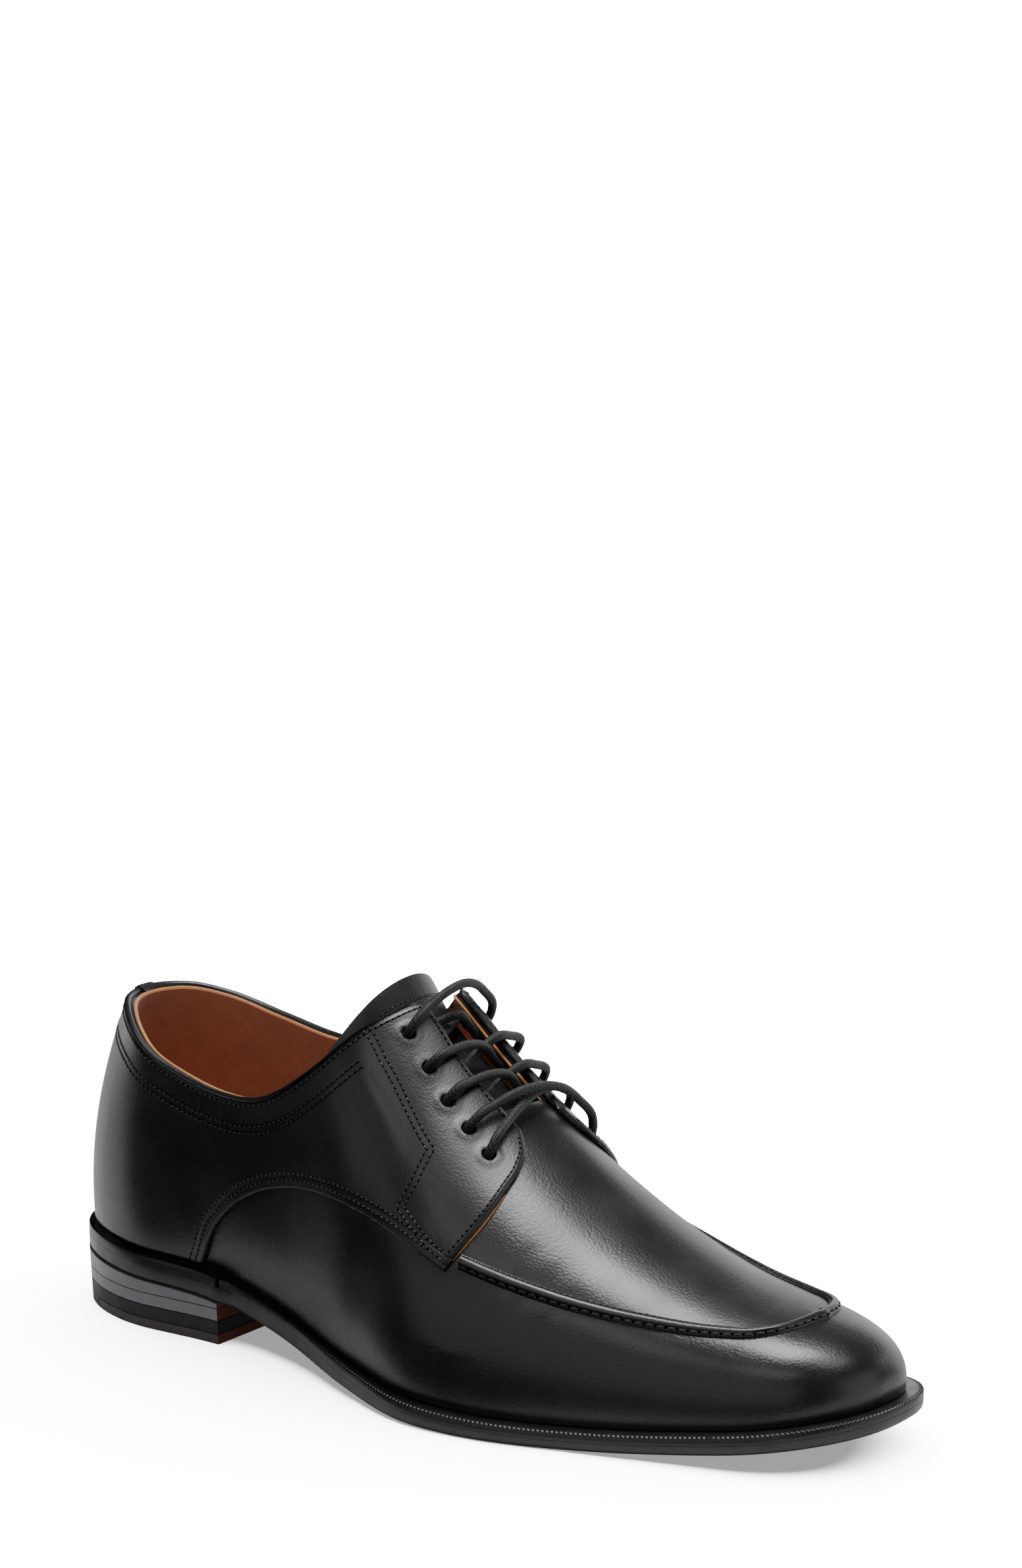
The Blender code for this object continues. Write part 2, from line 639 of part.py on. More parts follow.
def make_upper(leather):
    rear = rear_stations()
    facing = turns(turn_at(FACING_TOP), turn_at(throat_end()), 7)[1:]
    vamp = turns(turn_at(throat_end()), TOE_TURN, 10)[1:]
    toe = turns(TOE_TURN, 1, 8)[1:]
    one_side = rear + facing + vamp + toe
    closed_from = len(rear + facing) - 1
    path = [(-1, t) for t in one_side] + [(1, t) for t in reversed(one_side[1:-1])]
    outer, inner, sealed = [], [], set()
    for index, (side, turn) in enumerate(path):
        closed = turn >= one_side[closed_from]
        high = 1.0 if closed else rim(side, turn)
        outer.append(column(side, turn, 0.0, high, 0.0, UPPER_ROWS))
        inner.append(column(side, turn, 0.0, high, -WALL, UPPER_ROWS))
        if closed:
            sealed.add(index)
    return sheet("upper", outer, inner, leather, around=True, sealed=sealed)


def quarter_place(side, line_turn, along):
    """Turn and up on one line of the quarters, from its lower edge to the collar or facing edge."""
    pull_from = turn_at(FACING_TOP)
    pull = min(max((line_turn - pull_from) / (turn_at(QUARTER_FRONT) - pull_from), 0.0), 1.0) ** 2
    per_share = (TOE_TURN - HEEL_TURN) / (TOE_END - HEEL_END)
    turn = line_turn - pull * per_share * QUARTER_EDGE.at(along, "back")
    share = share_of(plan(side, turn))
    height = INSTEP_HEIGHT * QUARTER_ARC.at(share, "height") if turn > HEEL_TURN else 0.0
    low = up_at_height(side, turn, max(height, QUARTER_FOOT))
    return turn, low + (rim(side, turn) - low) * along


def quarter_column(side, line_turn, lift):
    places = [quarter_place(side, line_turn, along) for along in turns(0, 1, QUARTER_ROWS)]
    return [lifted(side, turn, up, lift) for turn, up in places]


def make_quarters(leather):
    one_side = rear_stations() + turns(turn_at(FACING_TOP), turn_at(QUARTER_FRONT), 9)[1:]
    path = [(-1, t) for t in reversed(one_side)] + [(1, t) for t in one_side[1:]]
    outer = [quarter_column(side, t, SKIN_GAP + QUARTER_THICKNESS) for side, t in path]
    inner = [quarter_column(side, t, SKIN_GAP) for side, t in path]
    return sheet("quarters", outer, inner, leather)


def make_back_strip(leather):
    """Strip over the closed heel back, hanging from the collar."""
    outer, inner = [], []
    lift = QUARTER_THICKNESS + SKIN_GAP + GAP
    edge = solve(lambda t: plan(1, t)[1] > BACK_STRIP / 2, 0.0, HEEL_TURN)
    for side, turn in ((-1, edge), (-1, edge / 2), (-1, 0.0), (1, edge / 2), (1, edge)):
        high = rim(side, turn)
        low = up_at_height(side, turn, COLLAR_HEIGHT - BACK_STRIP_DROP)
        outer.append(column(side, turn, low, high, lift + BACK_STRIP_THICKNESS, STRIP_ROWS))
        inner.append(column(side, turn, low, high, lift, STRIP_ROWS))
    return sheet("back_strip", outer, inner, leather)


def seam_start(side):
    """Turn at which the raised seam comes out from under the quarters' front edge."""
    front = turn_at(QUARTER_FRONT)
    middle = APRON.at(front, "lateral" if side < 0 else "medial")
    length = 4 * np.linalg.norm(rise_direction(side, front, middle))
    top = middle + APRON_BEAD / 2 / length
    share = solve(lambda along: quarter_place(side, front, along)[1] > top)
    clearance = turn_at_length(2 * SKIN_GAP) - turn_at_length(0.0)
    return quarter_place(side, front, share)[0] + clearance


def make_apron_seam(leather):
    """Raised seam round the apron, from one quarter's front edge round the toe to the other's."""
    toe = turns(TOE_TURN, 1, 13)
    path = [(-1, t) for t in turns(seam_start(-1), TOE_TURN, 15)[:-1] + toe]
    path += [(1, t) for t in toe[-2::-1] + turns(TOE_TURN, seam_start(1), 15)[1:]]
    across = turns(-1, 1, SEAM_ROWS)
    outer, inner = [], []
    for side, turn in path:
        middle = APRON.at(turn, "lateral" if side < 0 else "medial")
        length = 4 * np.linalg.norm(rise_direction(side, turn, middle))
        top, under = [], []
        for place in across:
            up = middle + place * APRON_BEAD / 2 / length
            dome = BEAD_EDGE + (1 - BEAD_EDGE) * max(math.cos(place * math.pi / 2), 0.0)
            top.append(lifted(side, turn, up, SKIN_GAP + APRON_RISE * dome))
            under.append(lifted(side, turn, up, SKIN_GAP))
        outer.append(top)
        inner.append(under)
    return sheet("apron_seam", outer, inner, leather)


def tongue_line(place, lift):
    """One line of the tongue from under the vamp to its top edge; place runs -1 to 1 across."""
    side = -1 if place < 0 else 1
    points = []
    for along in turns(0, 1, TONGUE_ROWS):
        top = TONGUE_TOP - TONGUE_FALL * place ** 2
        share = TONGUE_FRONT + (top - TONGUE_FRONT) * along
        turn = turn_at(share)
        edge = up_at_reach(side, turn, TONGUE.at(along, "reach"))
        up = 1 - (1 - edge) * abs(place)
        shallow = WALL + SKIN_GAP
        deep = UNDER + LACE_TURN + LACE / 2 + GAP
        depth = shallow + (deep - shallow) * TONGUE.at(along, "depth")
        points.append(lifted(side, turn, up, lift - depth))
    return points


def make_tongue(leather):
    places = turns(-1, 1, TONGUE_LINES)
    outer = [tongue_line(place, 0.0) for place in places]
    inner = [tongue_line(place, -TONGUE_THICKNESS) for place in places]
    return sheet("tongue", outer, inner, leather)


# Lacing
def eyelet_place(side, number):
    """Turn of a hole and its distance from the ridge line, counted from 1 at the toe end."""
    step = (EYELET_COUNT - number) / (EYELET_COUNT - 1)
    share = EYELETS_FRONT + (EYELETS_BACK - EYELETS_FRONT) * (1 - step)
    reach = THROAT / 2 + EYELET_INSET + EYELET_SPREAD * step
    return turn_at(share), side * reach


def over_throat(turn, place, height):
    """A point at a height off the dome of the instep; place is the distance from the ridge line."""
    side = -1 if place < 0 else 1
    up = up_at_reach(side, turn, abs(place))
    return lifted(side, turn, up, height)


def span(side, start, stop, heights):
    """Lace between two holes; heights holds rows of share of the way and height off the vamp."""
    first, last = np.array(eyelet_place(side, start)), np.array(eyelet_place(-side, stop))
    return [over_throat(*(first + (last - first) * share), height) for share, height in heights]


def over_span(side, start, stop, arch):
    """From the top of one hole across both facings to the top of another."""
    rows = []
    for share in turns(HOLE_SHARE, 1 - HOLE_SHARE, 7):
        turn = LACE_TURN * (1 - 2 * min(share, 1 - share))
        rows.append((share, OVER + turn + arch * math.sin(math.pi * share) ** 2))
    return span(side, start, stop, rows)


def dive_span(side, start, stop, middle):
    """From the top of one hole, over its facing edge and under the other, to a hole."""
    return span(side, start, stop, ((HOLE_SHARE, OVER + LACE_TURN), (0.20, OVER), (0.34, OVER * 0.8),
                                    (0.50, middle), (0.70, -UNDER), (0.82, -UNDER),
                                    (1 - HOLE_SHARE, -UNDER - LACE_TURN / 2)))


def under_span(side, start, stop, middle):
    """From under one hole through the throat to under another."""
    rows = []
    for share in turns(HOLE_SHARE, 1 - HOLE_SHARE, 7):
        turn = LACE_TURN / 2 * (1 - 2 * min(share, 1 - share))
        rise = (middle + UNDER) * math.sin(math.pi * share) ** 10
        rows.append((share, -UNDER - turn + rise))
    return span(side, start, stop, rows)


def through(side, number, upwards):
    """Inside a hole, from under the facing to over it or back."""
    heights = (-WALL - LACE_TURN / 2, OVER - LACE / 2)
    return [over_throat(*eyelet_place(side, number), height)
            for height in (heights if upwards else reversed(heights))]


def lace_route():
    """One lace, from the lowest near hole up to the top bar and down to the lowest far hole."""
    near, far = SIDES
    clear = (LACE + GAP) / 2
    low_end = -WALL - LACE / 2
    arch = LACE * CROSS_ARCH
    route = [over_throat(*eyelet_place(near, 1), low_end)] + through(near, 1, True)[1:]
    route += over_span(near, 1, 2, arch) + through(far, 2, False)
    route += dive_span(near, 3, 2, clear)[::-1] + through(near, 3, False)
    route += dive_span(far, 4, 3, -clear)[::-1] + through(far, 4, False)
    route += under_span(far, 4, 5, clear) + through(near, 5, True)
    route += over_span(near, 5, 5, LACE * BAR_ARCH) + through(far, 5, False)
    route += under_span(far, 5, 4, -UNDER) + through(near, 4, True)
    route += dive_span(near, 4, 3, clear) + through(far, 3, True)
    route += dive_span(far, 3, 2, -clear) + through(near, 2, True)
    route += over_span(near, 2, 1, arch + 2 * clear + GAP) + through(far, 1, False)[:1]
    return route + [over_throat(*eyelet_place(far, 1), low_end)]


def smooth_route(points, pieces):
    """A smooth line through the points, with a number of pieces between neighbours."""
    gaps = [np.linalg.norm(b - a) for a, b in zip(points, points[1:])]
    slopes = [(points[1] - points[0]) / gaps[0]]
    for k in range(1, len(points) - 1):
        before = (points[k] - points[k - 1]) / gaps[k - 1]
        after = (points[k + 1] - points[k]) / gaps[k]
        slopes.append((before * gaps[k] + after * gaps[k - 1]) / (gaps[k] + gaps[k - 1]))
    slopes.append((points[-1] - points[-2]) / gaps[-1])
    line = []
    for k, gap in enumerate(gaps):
        for step in range(pieces):
            t = step / pieces
            line.append((2 * t ** 3 - 3 * t ** 2 + 1) * points[k]
                        + (t ** 3 - 2 * t ** 2 + t) * slopes[k] * gap
                        + (3 * t ** 2 - 2 * t ** 3) * points[k + 1]
                        + (t ** 3 - t ** 2) * slopes[k + 1] * gap)
    return line + [points[-1]]


def make_lace(cord):
    line = smooth_route(lace_route(), 2)
    across = np.array([1.0, 0.0, 0.0])
    rings = []
    for k, point in enumerate(line):
        ahead = line[min(k + 1, len(line) - 1)] - line[max(k - 1, 0)]
        ahead = ahead / np.linalg.norm(ahead)
        across = across - ahead * np.dot(across, ahead)
        across = across / np.linalg.norm(across)
        other = np.cross(ahead, across)
        angles = [2 * math.pi * n / LACE_SIDES for n in range(LACE_SIDES)]
        rings.append([point + (across * math.cos(a) + other * math.sin(a)) * LACE / 2 for a in angles])
    return sweep("lace", rings, cord)


def make_eyelet_punch(leather):
    """All the lace holes as one guide, a short rod through each."""
    bm = bmesh.new()
    reach = 2 * (WALL + QUARTER_THICKNESS)
    for side in SIDES:
        for number in range(1, EYELET_COUNT + 1):
            middle = over_throat(*eyelet_place(side, number), 0.0)
            out = over_throat(*eyelet_place(side, number), 1.0) - middle
            across = np.cross(out, (1.0, 0.0, 0.0))
            across = across / np.linalg.norm(across)
            other = np.cross(out, across)
            rings = []
            for height in (-reach, reach):
                ring = []
                for n in range(PUNCH_SIDES):
                    angle = 2 * math.pi * n / PUNCH_SIDES
                    offset = across * math.cos(angle) + other * math.sin(angle)
                    ring.append(bm.verts.new(middle + out * height + offset * EYELET / 2))
                rings.append(ring)
            for k in range(PUNCH_SIDES):
                j = (k + 1) % PUNCH_SIDES
                bm.faces.new((rings[0][k], rings[0][j], rings[1][j], rings[1][k]))
            bm.faces.new(rings[0][::-1])
            bm.faces.new(rings[1])
    return finish_mesh("eyelet_punch", bm, leather)


def main():
    for old in list(bpy.data.objects):
        bpy.data.objects.remove(old, do_unlink=True)
    calf = make_material("black_calf", (0.012, 0.012, 0.014), 0.35)
    edge = make_material("black_sole_edge", (0.008, 0.008, 0.009), 0.3)
    heel_side = make_material("black_heel_stack", (0.02, 0.019, 0.021), 0.42)
    rubber = make_material("black_rubber", (0.010, 0.010, 0.011), 0.6)
    tip = make_material("grey_heel_tip", (0.035, 0.030, 0.034), 0.5)
    tan = make_material("tan_insole", (0.45, 0.16, 0.05), 0.6)
    wax = make_material("black_waxed_cotton", (0.010, 0.009, 0.011), 0.6)

    upper = make_upper(calf)
    quarters = make_quarters(calf)
    punch = make_eyelet_punch(calf)
    apply_cut(upper, punch)
    apply_cut(quarters, punch)
    pieces = [make_outsole(edge), make_welt(edge), make_seat_rand(edge), make_insole(tan),
              upper, quarters, punch, make_back_strip(calf), make_apron_seam(calf),
              make_tongue(calf), make_lace(wax)]
    pieces += make_heel(heel_side, rubber, tip)

    # The shoe's own frame starts in the middle of its box, on the floor
    corners = [v.co for piece in pieces if not piece.hide_render for v in piece.data.vertices]
    centre = [(min(c[axis] for c in corners) + max(c[axis] for c in corners)) / 2 for axis in (0, 1)]
    shoe = bpy.data.objects.new("shoe", None)
    bpy.context.scene.collection.objects.link(shoe)
    shoe.location = (-centre[0], -centre[1], 0.0)
    for piece in pieces:
        piece.parent = shoe


main()
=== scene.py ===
# Apron toe derby, right shoe. Metres, +Z up, toe towards +X, outer side towards -Y, floor at z = 0.
import functools
import math

import bmesh
import bpy
import numpy as np
from mathutils import Matrix, Vector, kdtree
from mathutils.bvhtree import BVHTree


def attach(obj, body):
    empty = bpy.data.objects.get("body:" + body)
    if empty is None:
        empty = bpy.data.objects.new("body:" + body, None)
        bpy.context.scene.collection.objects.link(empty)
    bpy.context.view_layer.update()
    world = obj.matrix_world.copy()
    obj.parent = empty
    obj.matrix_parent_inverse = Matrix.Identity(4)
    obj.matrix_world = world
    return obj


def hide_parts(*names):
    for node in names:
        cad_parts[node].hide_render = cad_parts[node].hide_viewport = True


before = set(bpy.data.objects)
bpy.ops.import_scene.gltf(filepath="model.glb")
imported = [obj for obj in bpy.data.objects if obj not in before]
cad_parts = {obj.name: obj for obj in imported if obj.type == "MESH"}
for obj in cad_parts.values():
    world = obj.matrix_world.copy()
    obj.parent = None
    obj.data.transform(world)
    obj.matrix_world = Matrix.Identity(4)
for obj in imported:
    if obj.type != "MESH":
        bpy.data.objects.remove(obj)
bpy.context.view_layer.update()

# Camera, floor and light
# The shoe stands on a white sheet under one large soft box. A weaker bank lights it from the front
# on the right, and a bright wall behind gives the long grey sheen on everything that turns away.
HEEL_BACK = Vector((-0.15245, 0.00416, 0.0))    # the sole's back edge in the frame
CAMERA_TURN = math.radians(35.5)                # round from the outer side towards the toe
CAMERA_RISE = math.radians(11.4)
CAMERA_ROLL = math.radians(0.31)
CAMERA_DISTANCE = 1.373
CAMERA_AIM = Vector((0.1645, 0.0, 0.191))       # from the heel back, above the instep
LENS = 102.06                                   # millimetres
SENSOR = 36                                     # millimetres, both ways
FLOOR_REACH = 30.0
# Outline of the reflecting sheet round the shoe; its near edge ends just in front of the sole
SHEET = ((0.9, -0.07), (0.9, 1.2), (-0.9, 1.2), (-0.9, -0.25), (-0.2, -0.12), (-0.03, -0.07))
SHEET_DROP = -0.0004
LAMPS_AIM = Vector((0.16, 0.0, 0.05))           # the point the soft boxes face, from the heel back


def direction(turn, rise):
    """Unit vector from the shoe, turned from the outer side towards the toe and raised."""
    return Vector((math.sin(turn) * math.cos(rise), -math.cos(turn) * math.cos(rise), math.sin(rise)))


def link(thing):
    bpy.context.scene.collection.objects.link(thing)
    return thing


back = direction(CAMERA_TURN, CAMERA_RISE)
level = Vector((math.cos(CAMERA_TURN), math.sin(CAMERA_TURN), 0.0))
upward = back.cross(level)
right = level * math.cos(CAMERA_ROLL) + upward * math.sin(CAMERA_ROLL)
upward = upward * math.cos(CAMERA_ROLL) - level * math.sin(CAMERA_ROLL)
camera = link(bpy.data.objects.new("camera", bpy.data.cameras.new("camera")))
camera.data.sensor_fit = 'VERTICAL'
camera.data.sensor_height = camera.data.sensor_width = SENSOR
camera.data.lens = LENS
camera.matrix_world = Matrix((right, upward, back)).transposed().to_4x4()
camera.location = HEEL_BACK + CAMERA_AIM + back * CAMERA_DISTANCE
bpy.context.scene.camera = camera


def colour(code):
    """Linear colour of a hex code."""
    parts = [int(code[k:k + 2], 16) / 255 for k in (1, 3, 5)]
    return (*(p / 12.92 if p <= 0.04045 else ((p + 0.055) / 1.055) ** 2.4 for p in parts), 1.0)


def add(tree, kind, links=None, **settings):
    """Adds a shader node; links gives its sockets values or the outputs of other nodes."""
    made = tree.nodes.new("ShaderNode" + kind)
    for name, value in settings.items():
        setattr(made, name, value)
    for socket, value in (links or {}).items():
        if isinstance(value, bpy.types.NodeSocket):
            tree.links.new(value, made.inputs[socket])
        else:
            made.inputs[socket].default_value = value
    return made


def finish_of(name):
    """A new material with an empty node tree."""
    made = bpy.data.materials.new(name)
    made.use_nodes = True
    made.node_tree.nodes.clear()
    return made, made.node_tree


def close(tree, shader):
    add(tree, "OutputMaterial", {"Surface": shader.outputs[0]})


def noise(tree, scale, detail=2.0, place=None):
    links = {"Scale": scale, "Detail": detail}
    if place is not None:
        links["Vector"] = place
    return add(tree, "TexNoise", links).outputs["Fac"]


def blend(tree, share, *colours):
    """Mixes two colours, each a hex code or the output of a node."""
    first, second = (colour(c) if isinstance(c, str) else c for c in colours)
    return add(tree, "MixRGB", {"Fac": share, "Color1": first, "Color2": second}).outputs[0]


def bumped(tree, height, depth, strength=1.0, below=None, **settings):
    """Relief of a depth in metres, on top of the relief below."""
    links = {"Height": height, "Distance": depth, "Strength": strength}
    if below is not None:
        links["Normal"] = below
    return add(tree, "Bump", links, **settings).outputs[0]


def mottled_card(name, glow=None):
    made, tree = finish_of(name)
    shade = blend(tree, noise(tree, 40.0), "#f4f4f4", "#fbfbfb")
    shader = add(tree, "BsdfDiffuse", {"Color": shade})
    if glow:
        light = add(tree, "Emission", {"Color": shade, "Strength": glow})
        shader = add(tree, "AddShader", {0: shader.outputs[0], 1: light.outputs[0]})
    close(tree, shader)
    return made


# Matt white card: even, with a faint mottle
white_card = mottled_card("matt_white_card")
# The same card lit from all round, so that its shadows stay pale
floor_card = mottled_card("softly_lit_floor_card", 0.42)


def lay_sheet(name, corners, height, card):
    mesh = bpy.data.meshes.new(name)
    points = [HEEL_BACK + Vector((x, y, height)) for x, y in corners]
    mesh.from_pydata(points, [], [tuple(range(len(points)))])
    mesh.materials.append(card)
    sheet = link(bpy.data.objects.new(name, mesh))
    sheet.visible_shadow = False
    return sheet


# The floor shows to the camera; the reflecting sheet, which ends just in front of the shoe, to gloss
square = ((-FLOOR_REACH, -FLOOR_REACH), (FLOOR_REACH, -FLOOR_REACH), (FLOOR_REACH, FLOOR_REACH),
          (-FLOOR_REACH, FLOOR_REACH))
floor = lay_sheet("floor", square, 0.0, floor_card)
floor.visible_glossy = False
floor.visible_diffuse = False
lay_sheet("reflecting_sheet", SHEET, SHEET_DROP, white_card).visible_camera = False

world = bpy.data.worlds.new("studio")
world.use_nodes = True
world.node_tree.nodes["Background"].inputs["Color"].default_value = (1.0, 1.0, 1.0, 1.0)
world.node_tree.nodes["Background"].inputs["Strength"].default_value = 18.0
world.cycles_visibility.diffuse = False
world.cycles_visibility.glossy = False
world.cycles_visibility.transmission = False
bpy.context.scene.world = world

# The soft boxes light everything but the floor
shoe_light = bpy.data.collections.new("shoe_light")
shoe_light.objects.link(floor)
shoe_light.collection_objects[0].light_linking.link_state = 'EXCLUDE'


def soft_box(name, turn, rise, distance, width, height, radiance):
    """A rectangular light that faces the shoe; radiance is what its face shows in a mirror."""
    data = bpy.data.lights.new(name, 'AREA')
    data.shape = 'RECTANGLE'
    data.size, data.size_y = width, height
    data.energy = radiance * math.pi * width * height
    lamp = link(bpy.data.objects.new(name, data))
    towards = direction(math.radians(turn), math.radians(rise))
    lamp.location = HEEL_BACK + LAMPS_AIM + towards * distance
    lamp.rotation_euler = towards.to_track_quat('Z', 'Y').to_euler()
    lamp.visible_camera = False
    lamp.light_linking.receiver_collection = shoe_light


soft_box("overhead_box", 165, 84, 0.85, 0.42, 0.38, 15.5)
soft_box("toe_box", 108, 62, 1.0, 0.40, 0.26, 3.4)
soft_box("front_bank", 18, 50, 1.0, 0.65, 0.26, 1.8)
soft_box("camera_fill", 0, 16, 1.6, 2.6, 1.2, 0.55)
soft_box("right_wall", 100, 12, 1.2, 1.1, 0.8, 0.8)
soft_box("back_wall", 182, 12, 1.6, 2.2, 1.0, 1.5)
soft_box("left_wall", 264, -4, 1.4, 0.8, 0.5, 2.0)
# The floor's own light comes from above and behind, so the shadow falls to the front
sheet_light = link(bpy.data.objects.new("sheet_light", bpy.data.lights.new("sheet_light", 'SUN')))
sheet_light.data.energy = 62.0
sheet_light.data.angle = math.radians(100)
sun = direction(math.radians(185), math.radians(68))
sheet_light.rotation_euler = sun.to_track_quat('Z', 'Y').to_euler()
sheet_light.visible_glossy = False
lit = bpy.data.collections.new("sheet_receiver")
lit.objects.link(floor)
sheet_light.light_linking.receiver_collection = lit

# Last
# Everything above the sole is pulled over one last. Its ribs rise from the sole's edge to the top
# ridge: side is -1 on the outer half and 1 on the inner, turn runs 0 to 1 from the heel back round
# to the toe tip, and up runs 0 to 1 from the lower edge to the ridge.
SOLE_LENGTH = 0.3065
BALL_WIDTH = 0.106
HEEL_HEIGHT = 0.0185
TOE_SPRING = 0.012
INSTEP_HEIGHT = 0.091
OUTSOLE_THICKNESS = 0.0053
WELT_THICKNESS = 0.0027
GAP = 0.0003                    # between parts that touch
HEEL_END = 0.15                 # share of the length where the heel's round ends
TOE_END = 0.86                  # and where the toe's begins
RIDGE_END = 0.880               # and where the top ridge ends
HEEL_ROUND = 2.1                # powers of the two rounds: 2 is an ellipse
TOE_ROUND = 2.5
TOE_AXIS = 0.072                # the toe tip's place across, share of the ball width
HEEL_TURN = 0.2                 # turns at the ends of the two rounds
TOE_TURN = 0.8
FLAT_SPOT = (0.60, 0.67)        # shares of the length that stand on the floor
SPRING_POWER = 1.8
SIDES = (-1, 1)
HALF = {-1: "lateral", 1: "medial"}


def eased(t, low, high, start, end):
    """From low to high as t goes from 0 to 1, leaving with the slope start and arriving with end."""
    return ((2 * t ** 3 - 3 * t ** 2 + 1) * low + (t ** 3 - 2 * t ** 2 + t) * start
            + (3 * t ** 2 - 2 * t ** 3) * high + (t ** 3 - t ** 2) * end)


class Table:
    """Rows of numbers under named columns, read smoothly at any share between its rows."""

    def __init__(self, columns, *rows):
        self.columns = columns.split()
        self.rows = rows

    def slope(self, index, column):
        rows = self.rows
        if index == 0 or index == len(rows) - 1:
            low = min(index, len(rows) - 2)
            return (rows[low + 1][column] - rows[low][column]) / (rows[low + 1][0] - rows[low][0])
        before, here, after = rows[index - 1:index + 2]
        left = (here[column] - before[column]) / (here[0] - before[0])
        right = (after[column] - here[column]) / (after[0] - here[0])
        weight = (here[0] - before[0]) / (after[0] - before[0])
        return left * (1 - weight) + right * weight

    def at(self, share, name):
        column = self.columns.index(name)
        rows = self.rows
        share = min(max(share, rows[0][0]), rows[-1][0])
        index = 0
        while index < len(rows) - 2 and share > rows[index + 1][0]:
            index += 1
        low, high = rows[index], rows[index + 1]
        span = high[0] - low[0]
        return eased((share - low[0]) / span, low[column], high[column],
                     self.slope(index, column) * span, self.slope(index + 1, column) * span)


# Half widths of the sole and the line of the top ridge, shares of the ball width
PLAN = Table("share lateral medial ridge",
             (0.00, 0.290, 0.290, 0.000), (0.12, 0.305, 0.300, 0.000), (0.24, 0.300, 0.290, 0.012),
             (0.34, 0.350, 0.270, 0.045), (0.44, 0.460, 0.290, 0.068), (0.54, 0.550, 0.370, 0.072),
             (0.62, 0.540, 0.440, 0.070), (0.72, 0.460, 0.475, 0.066), (0.83, 0.370, 0.450, 0.068),
             (0.92, 0.305, 0.400, 0.072), (1.00, 0.240, 0.350, 0.072))
SOLE_LINE = Table("share height",
                  (0.00, 1.000), (0.12, 0.900), (0.23, 0.780), (0.30, 0.570), (0.38, 0.320),
                  (0.46, 0.130), (0.54, 0.025), (0.60, 0.000))
OUTSOLE_LINE = Table("share thickness", (0.00, 1.0), (0.30, 1.0), (0.45, 0.86), (0.60, 0.64), (1.00, 0.64))
LEDGE = Table("share inset",
              (0.00, 0.0026), (0.20, 0.0030), (0.40, 0.0032), (0.60, 0.0052), (1.00, 0.0056))
RIDGE = Table("share height",
              (0.000, 1.110), (0.300, 1.230), (0.400, 1.236), (0.433, 1.160), (0.490, 1.000),
              (0.547, 0.860), (0.600, 0.747), (0.663, 0.620), (0.700, 0.552), (0.757, 0.458),
              (0.800, 0.398), (0.843, 0.350), (0.877, 0.315), (0.930, 0.266))
# Four handles of each rib: out from the ridge as shares of the reach, up as shares of its height
RIB_COLUMNS = "share w1 h1 w2 h2 w3 h3 w4"
HEEL_RIBS = ((0.00, 1.02, 0.14, 1.02, 0.40, 0.82, 0.62, 0.42),
             (0.08, 1.07, 0.15, 1.08, 0.40, 0.93, 0.64, 0.56),
             (0.15, 1.12, 0.16, 1.14, 0.40, 1.04, 0.66, 0.76))
TOE_RIBS = ((0.86, 1.04, 0.38, 0.94, 0.84, 0.58, 1.00, 0.00),
            (1.00, 1.05, 0.40, 0.92, 0.84, 0.58, 1.00, 0.00))
LATERAL_RIBS = Table(RIB_COLUMNS, *HEEL_RIBS,
                     (0.24, 1.16, 0.16, 1.20, 0.40, 1.10, 0.68, 0.72),
                     (0.34, 1.12, 0.18, 1.14, 0.46, 0.94, 0.82, 0.30),
                     (0.40, 1.08, 0.20, 1.08, 0.52, 0.72, 1.00, 0.00),
                     (0.50, 1.06, 0.22, 1.02, 0.56, 0.62, 1.00, 0.00),
                     (0.60, 1.05, 0.26, 1.00, 0.64, 0.58, 1.00, 0.00),
                     (0.72, 1.04, 0.32, 0.98, 0.75, 0.58, 1.00, 0.00), *TOE_RIBS)
MEDIAL_RIBS = Table(RIB_COLUMNS, *HEEL_RIBS,
                    (0.24, 1.20, 0.16, 1.30, 0.40, 1.18, 0.70, 0.74),
                    (0.34, 1.36, 0.18, 1.72, 0.46, 1.50, 0.84, 0.50),
                    (0.40, 1.40, 0.20, 1.92, 0.50, 1.58, 1.00, 0.00),
                    (0.50, 1.26, 0.22, 1.58, 0.54, 1.28, 1.00, 0.00),
                    (0.60, 1.12, 0.26, 1.16, 0.62, 0.88, 1.00, 0.00),
                    (0.72, 1.05, 0.32, 1.00, 0.74, 0.64, 1.00, 0.00), *TOE_RIBS)


def sole_underside(share):
    if share <= FLAT_SPOT[0]:
        return HEEL_HEIGHT * SOLE_LINE.at(share, "height")
    beyond = max(share - FLAT_SPOT[1], 0.0) / (1 - FLAT_SPOT[1])
    return TOE_SPRING * beyond ** SPRING_POWER


def outsole_top(share):
    return sole_underside(share) + OUTSOLE_THICKNESS * OUTSOLE_LINE.at(share, "thickness")


def welt_top(share):
    return outsole_top(share) + GAP + WELT_THICKNESS


def lower_edge(share):
    return welt_top(share) + GAP


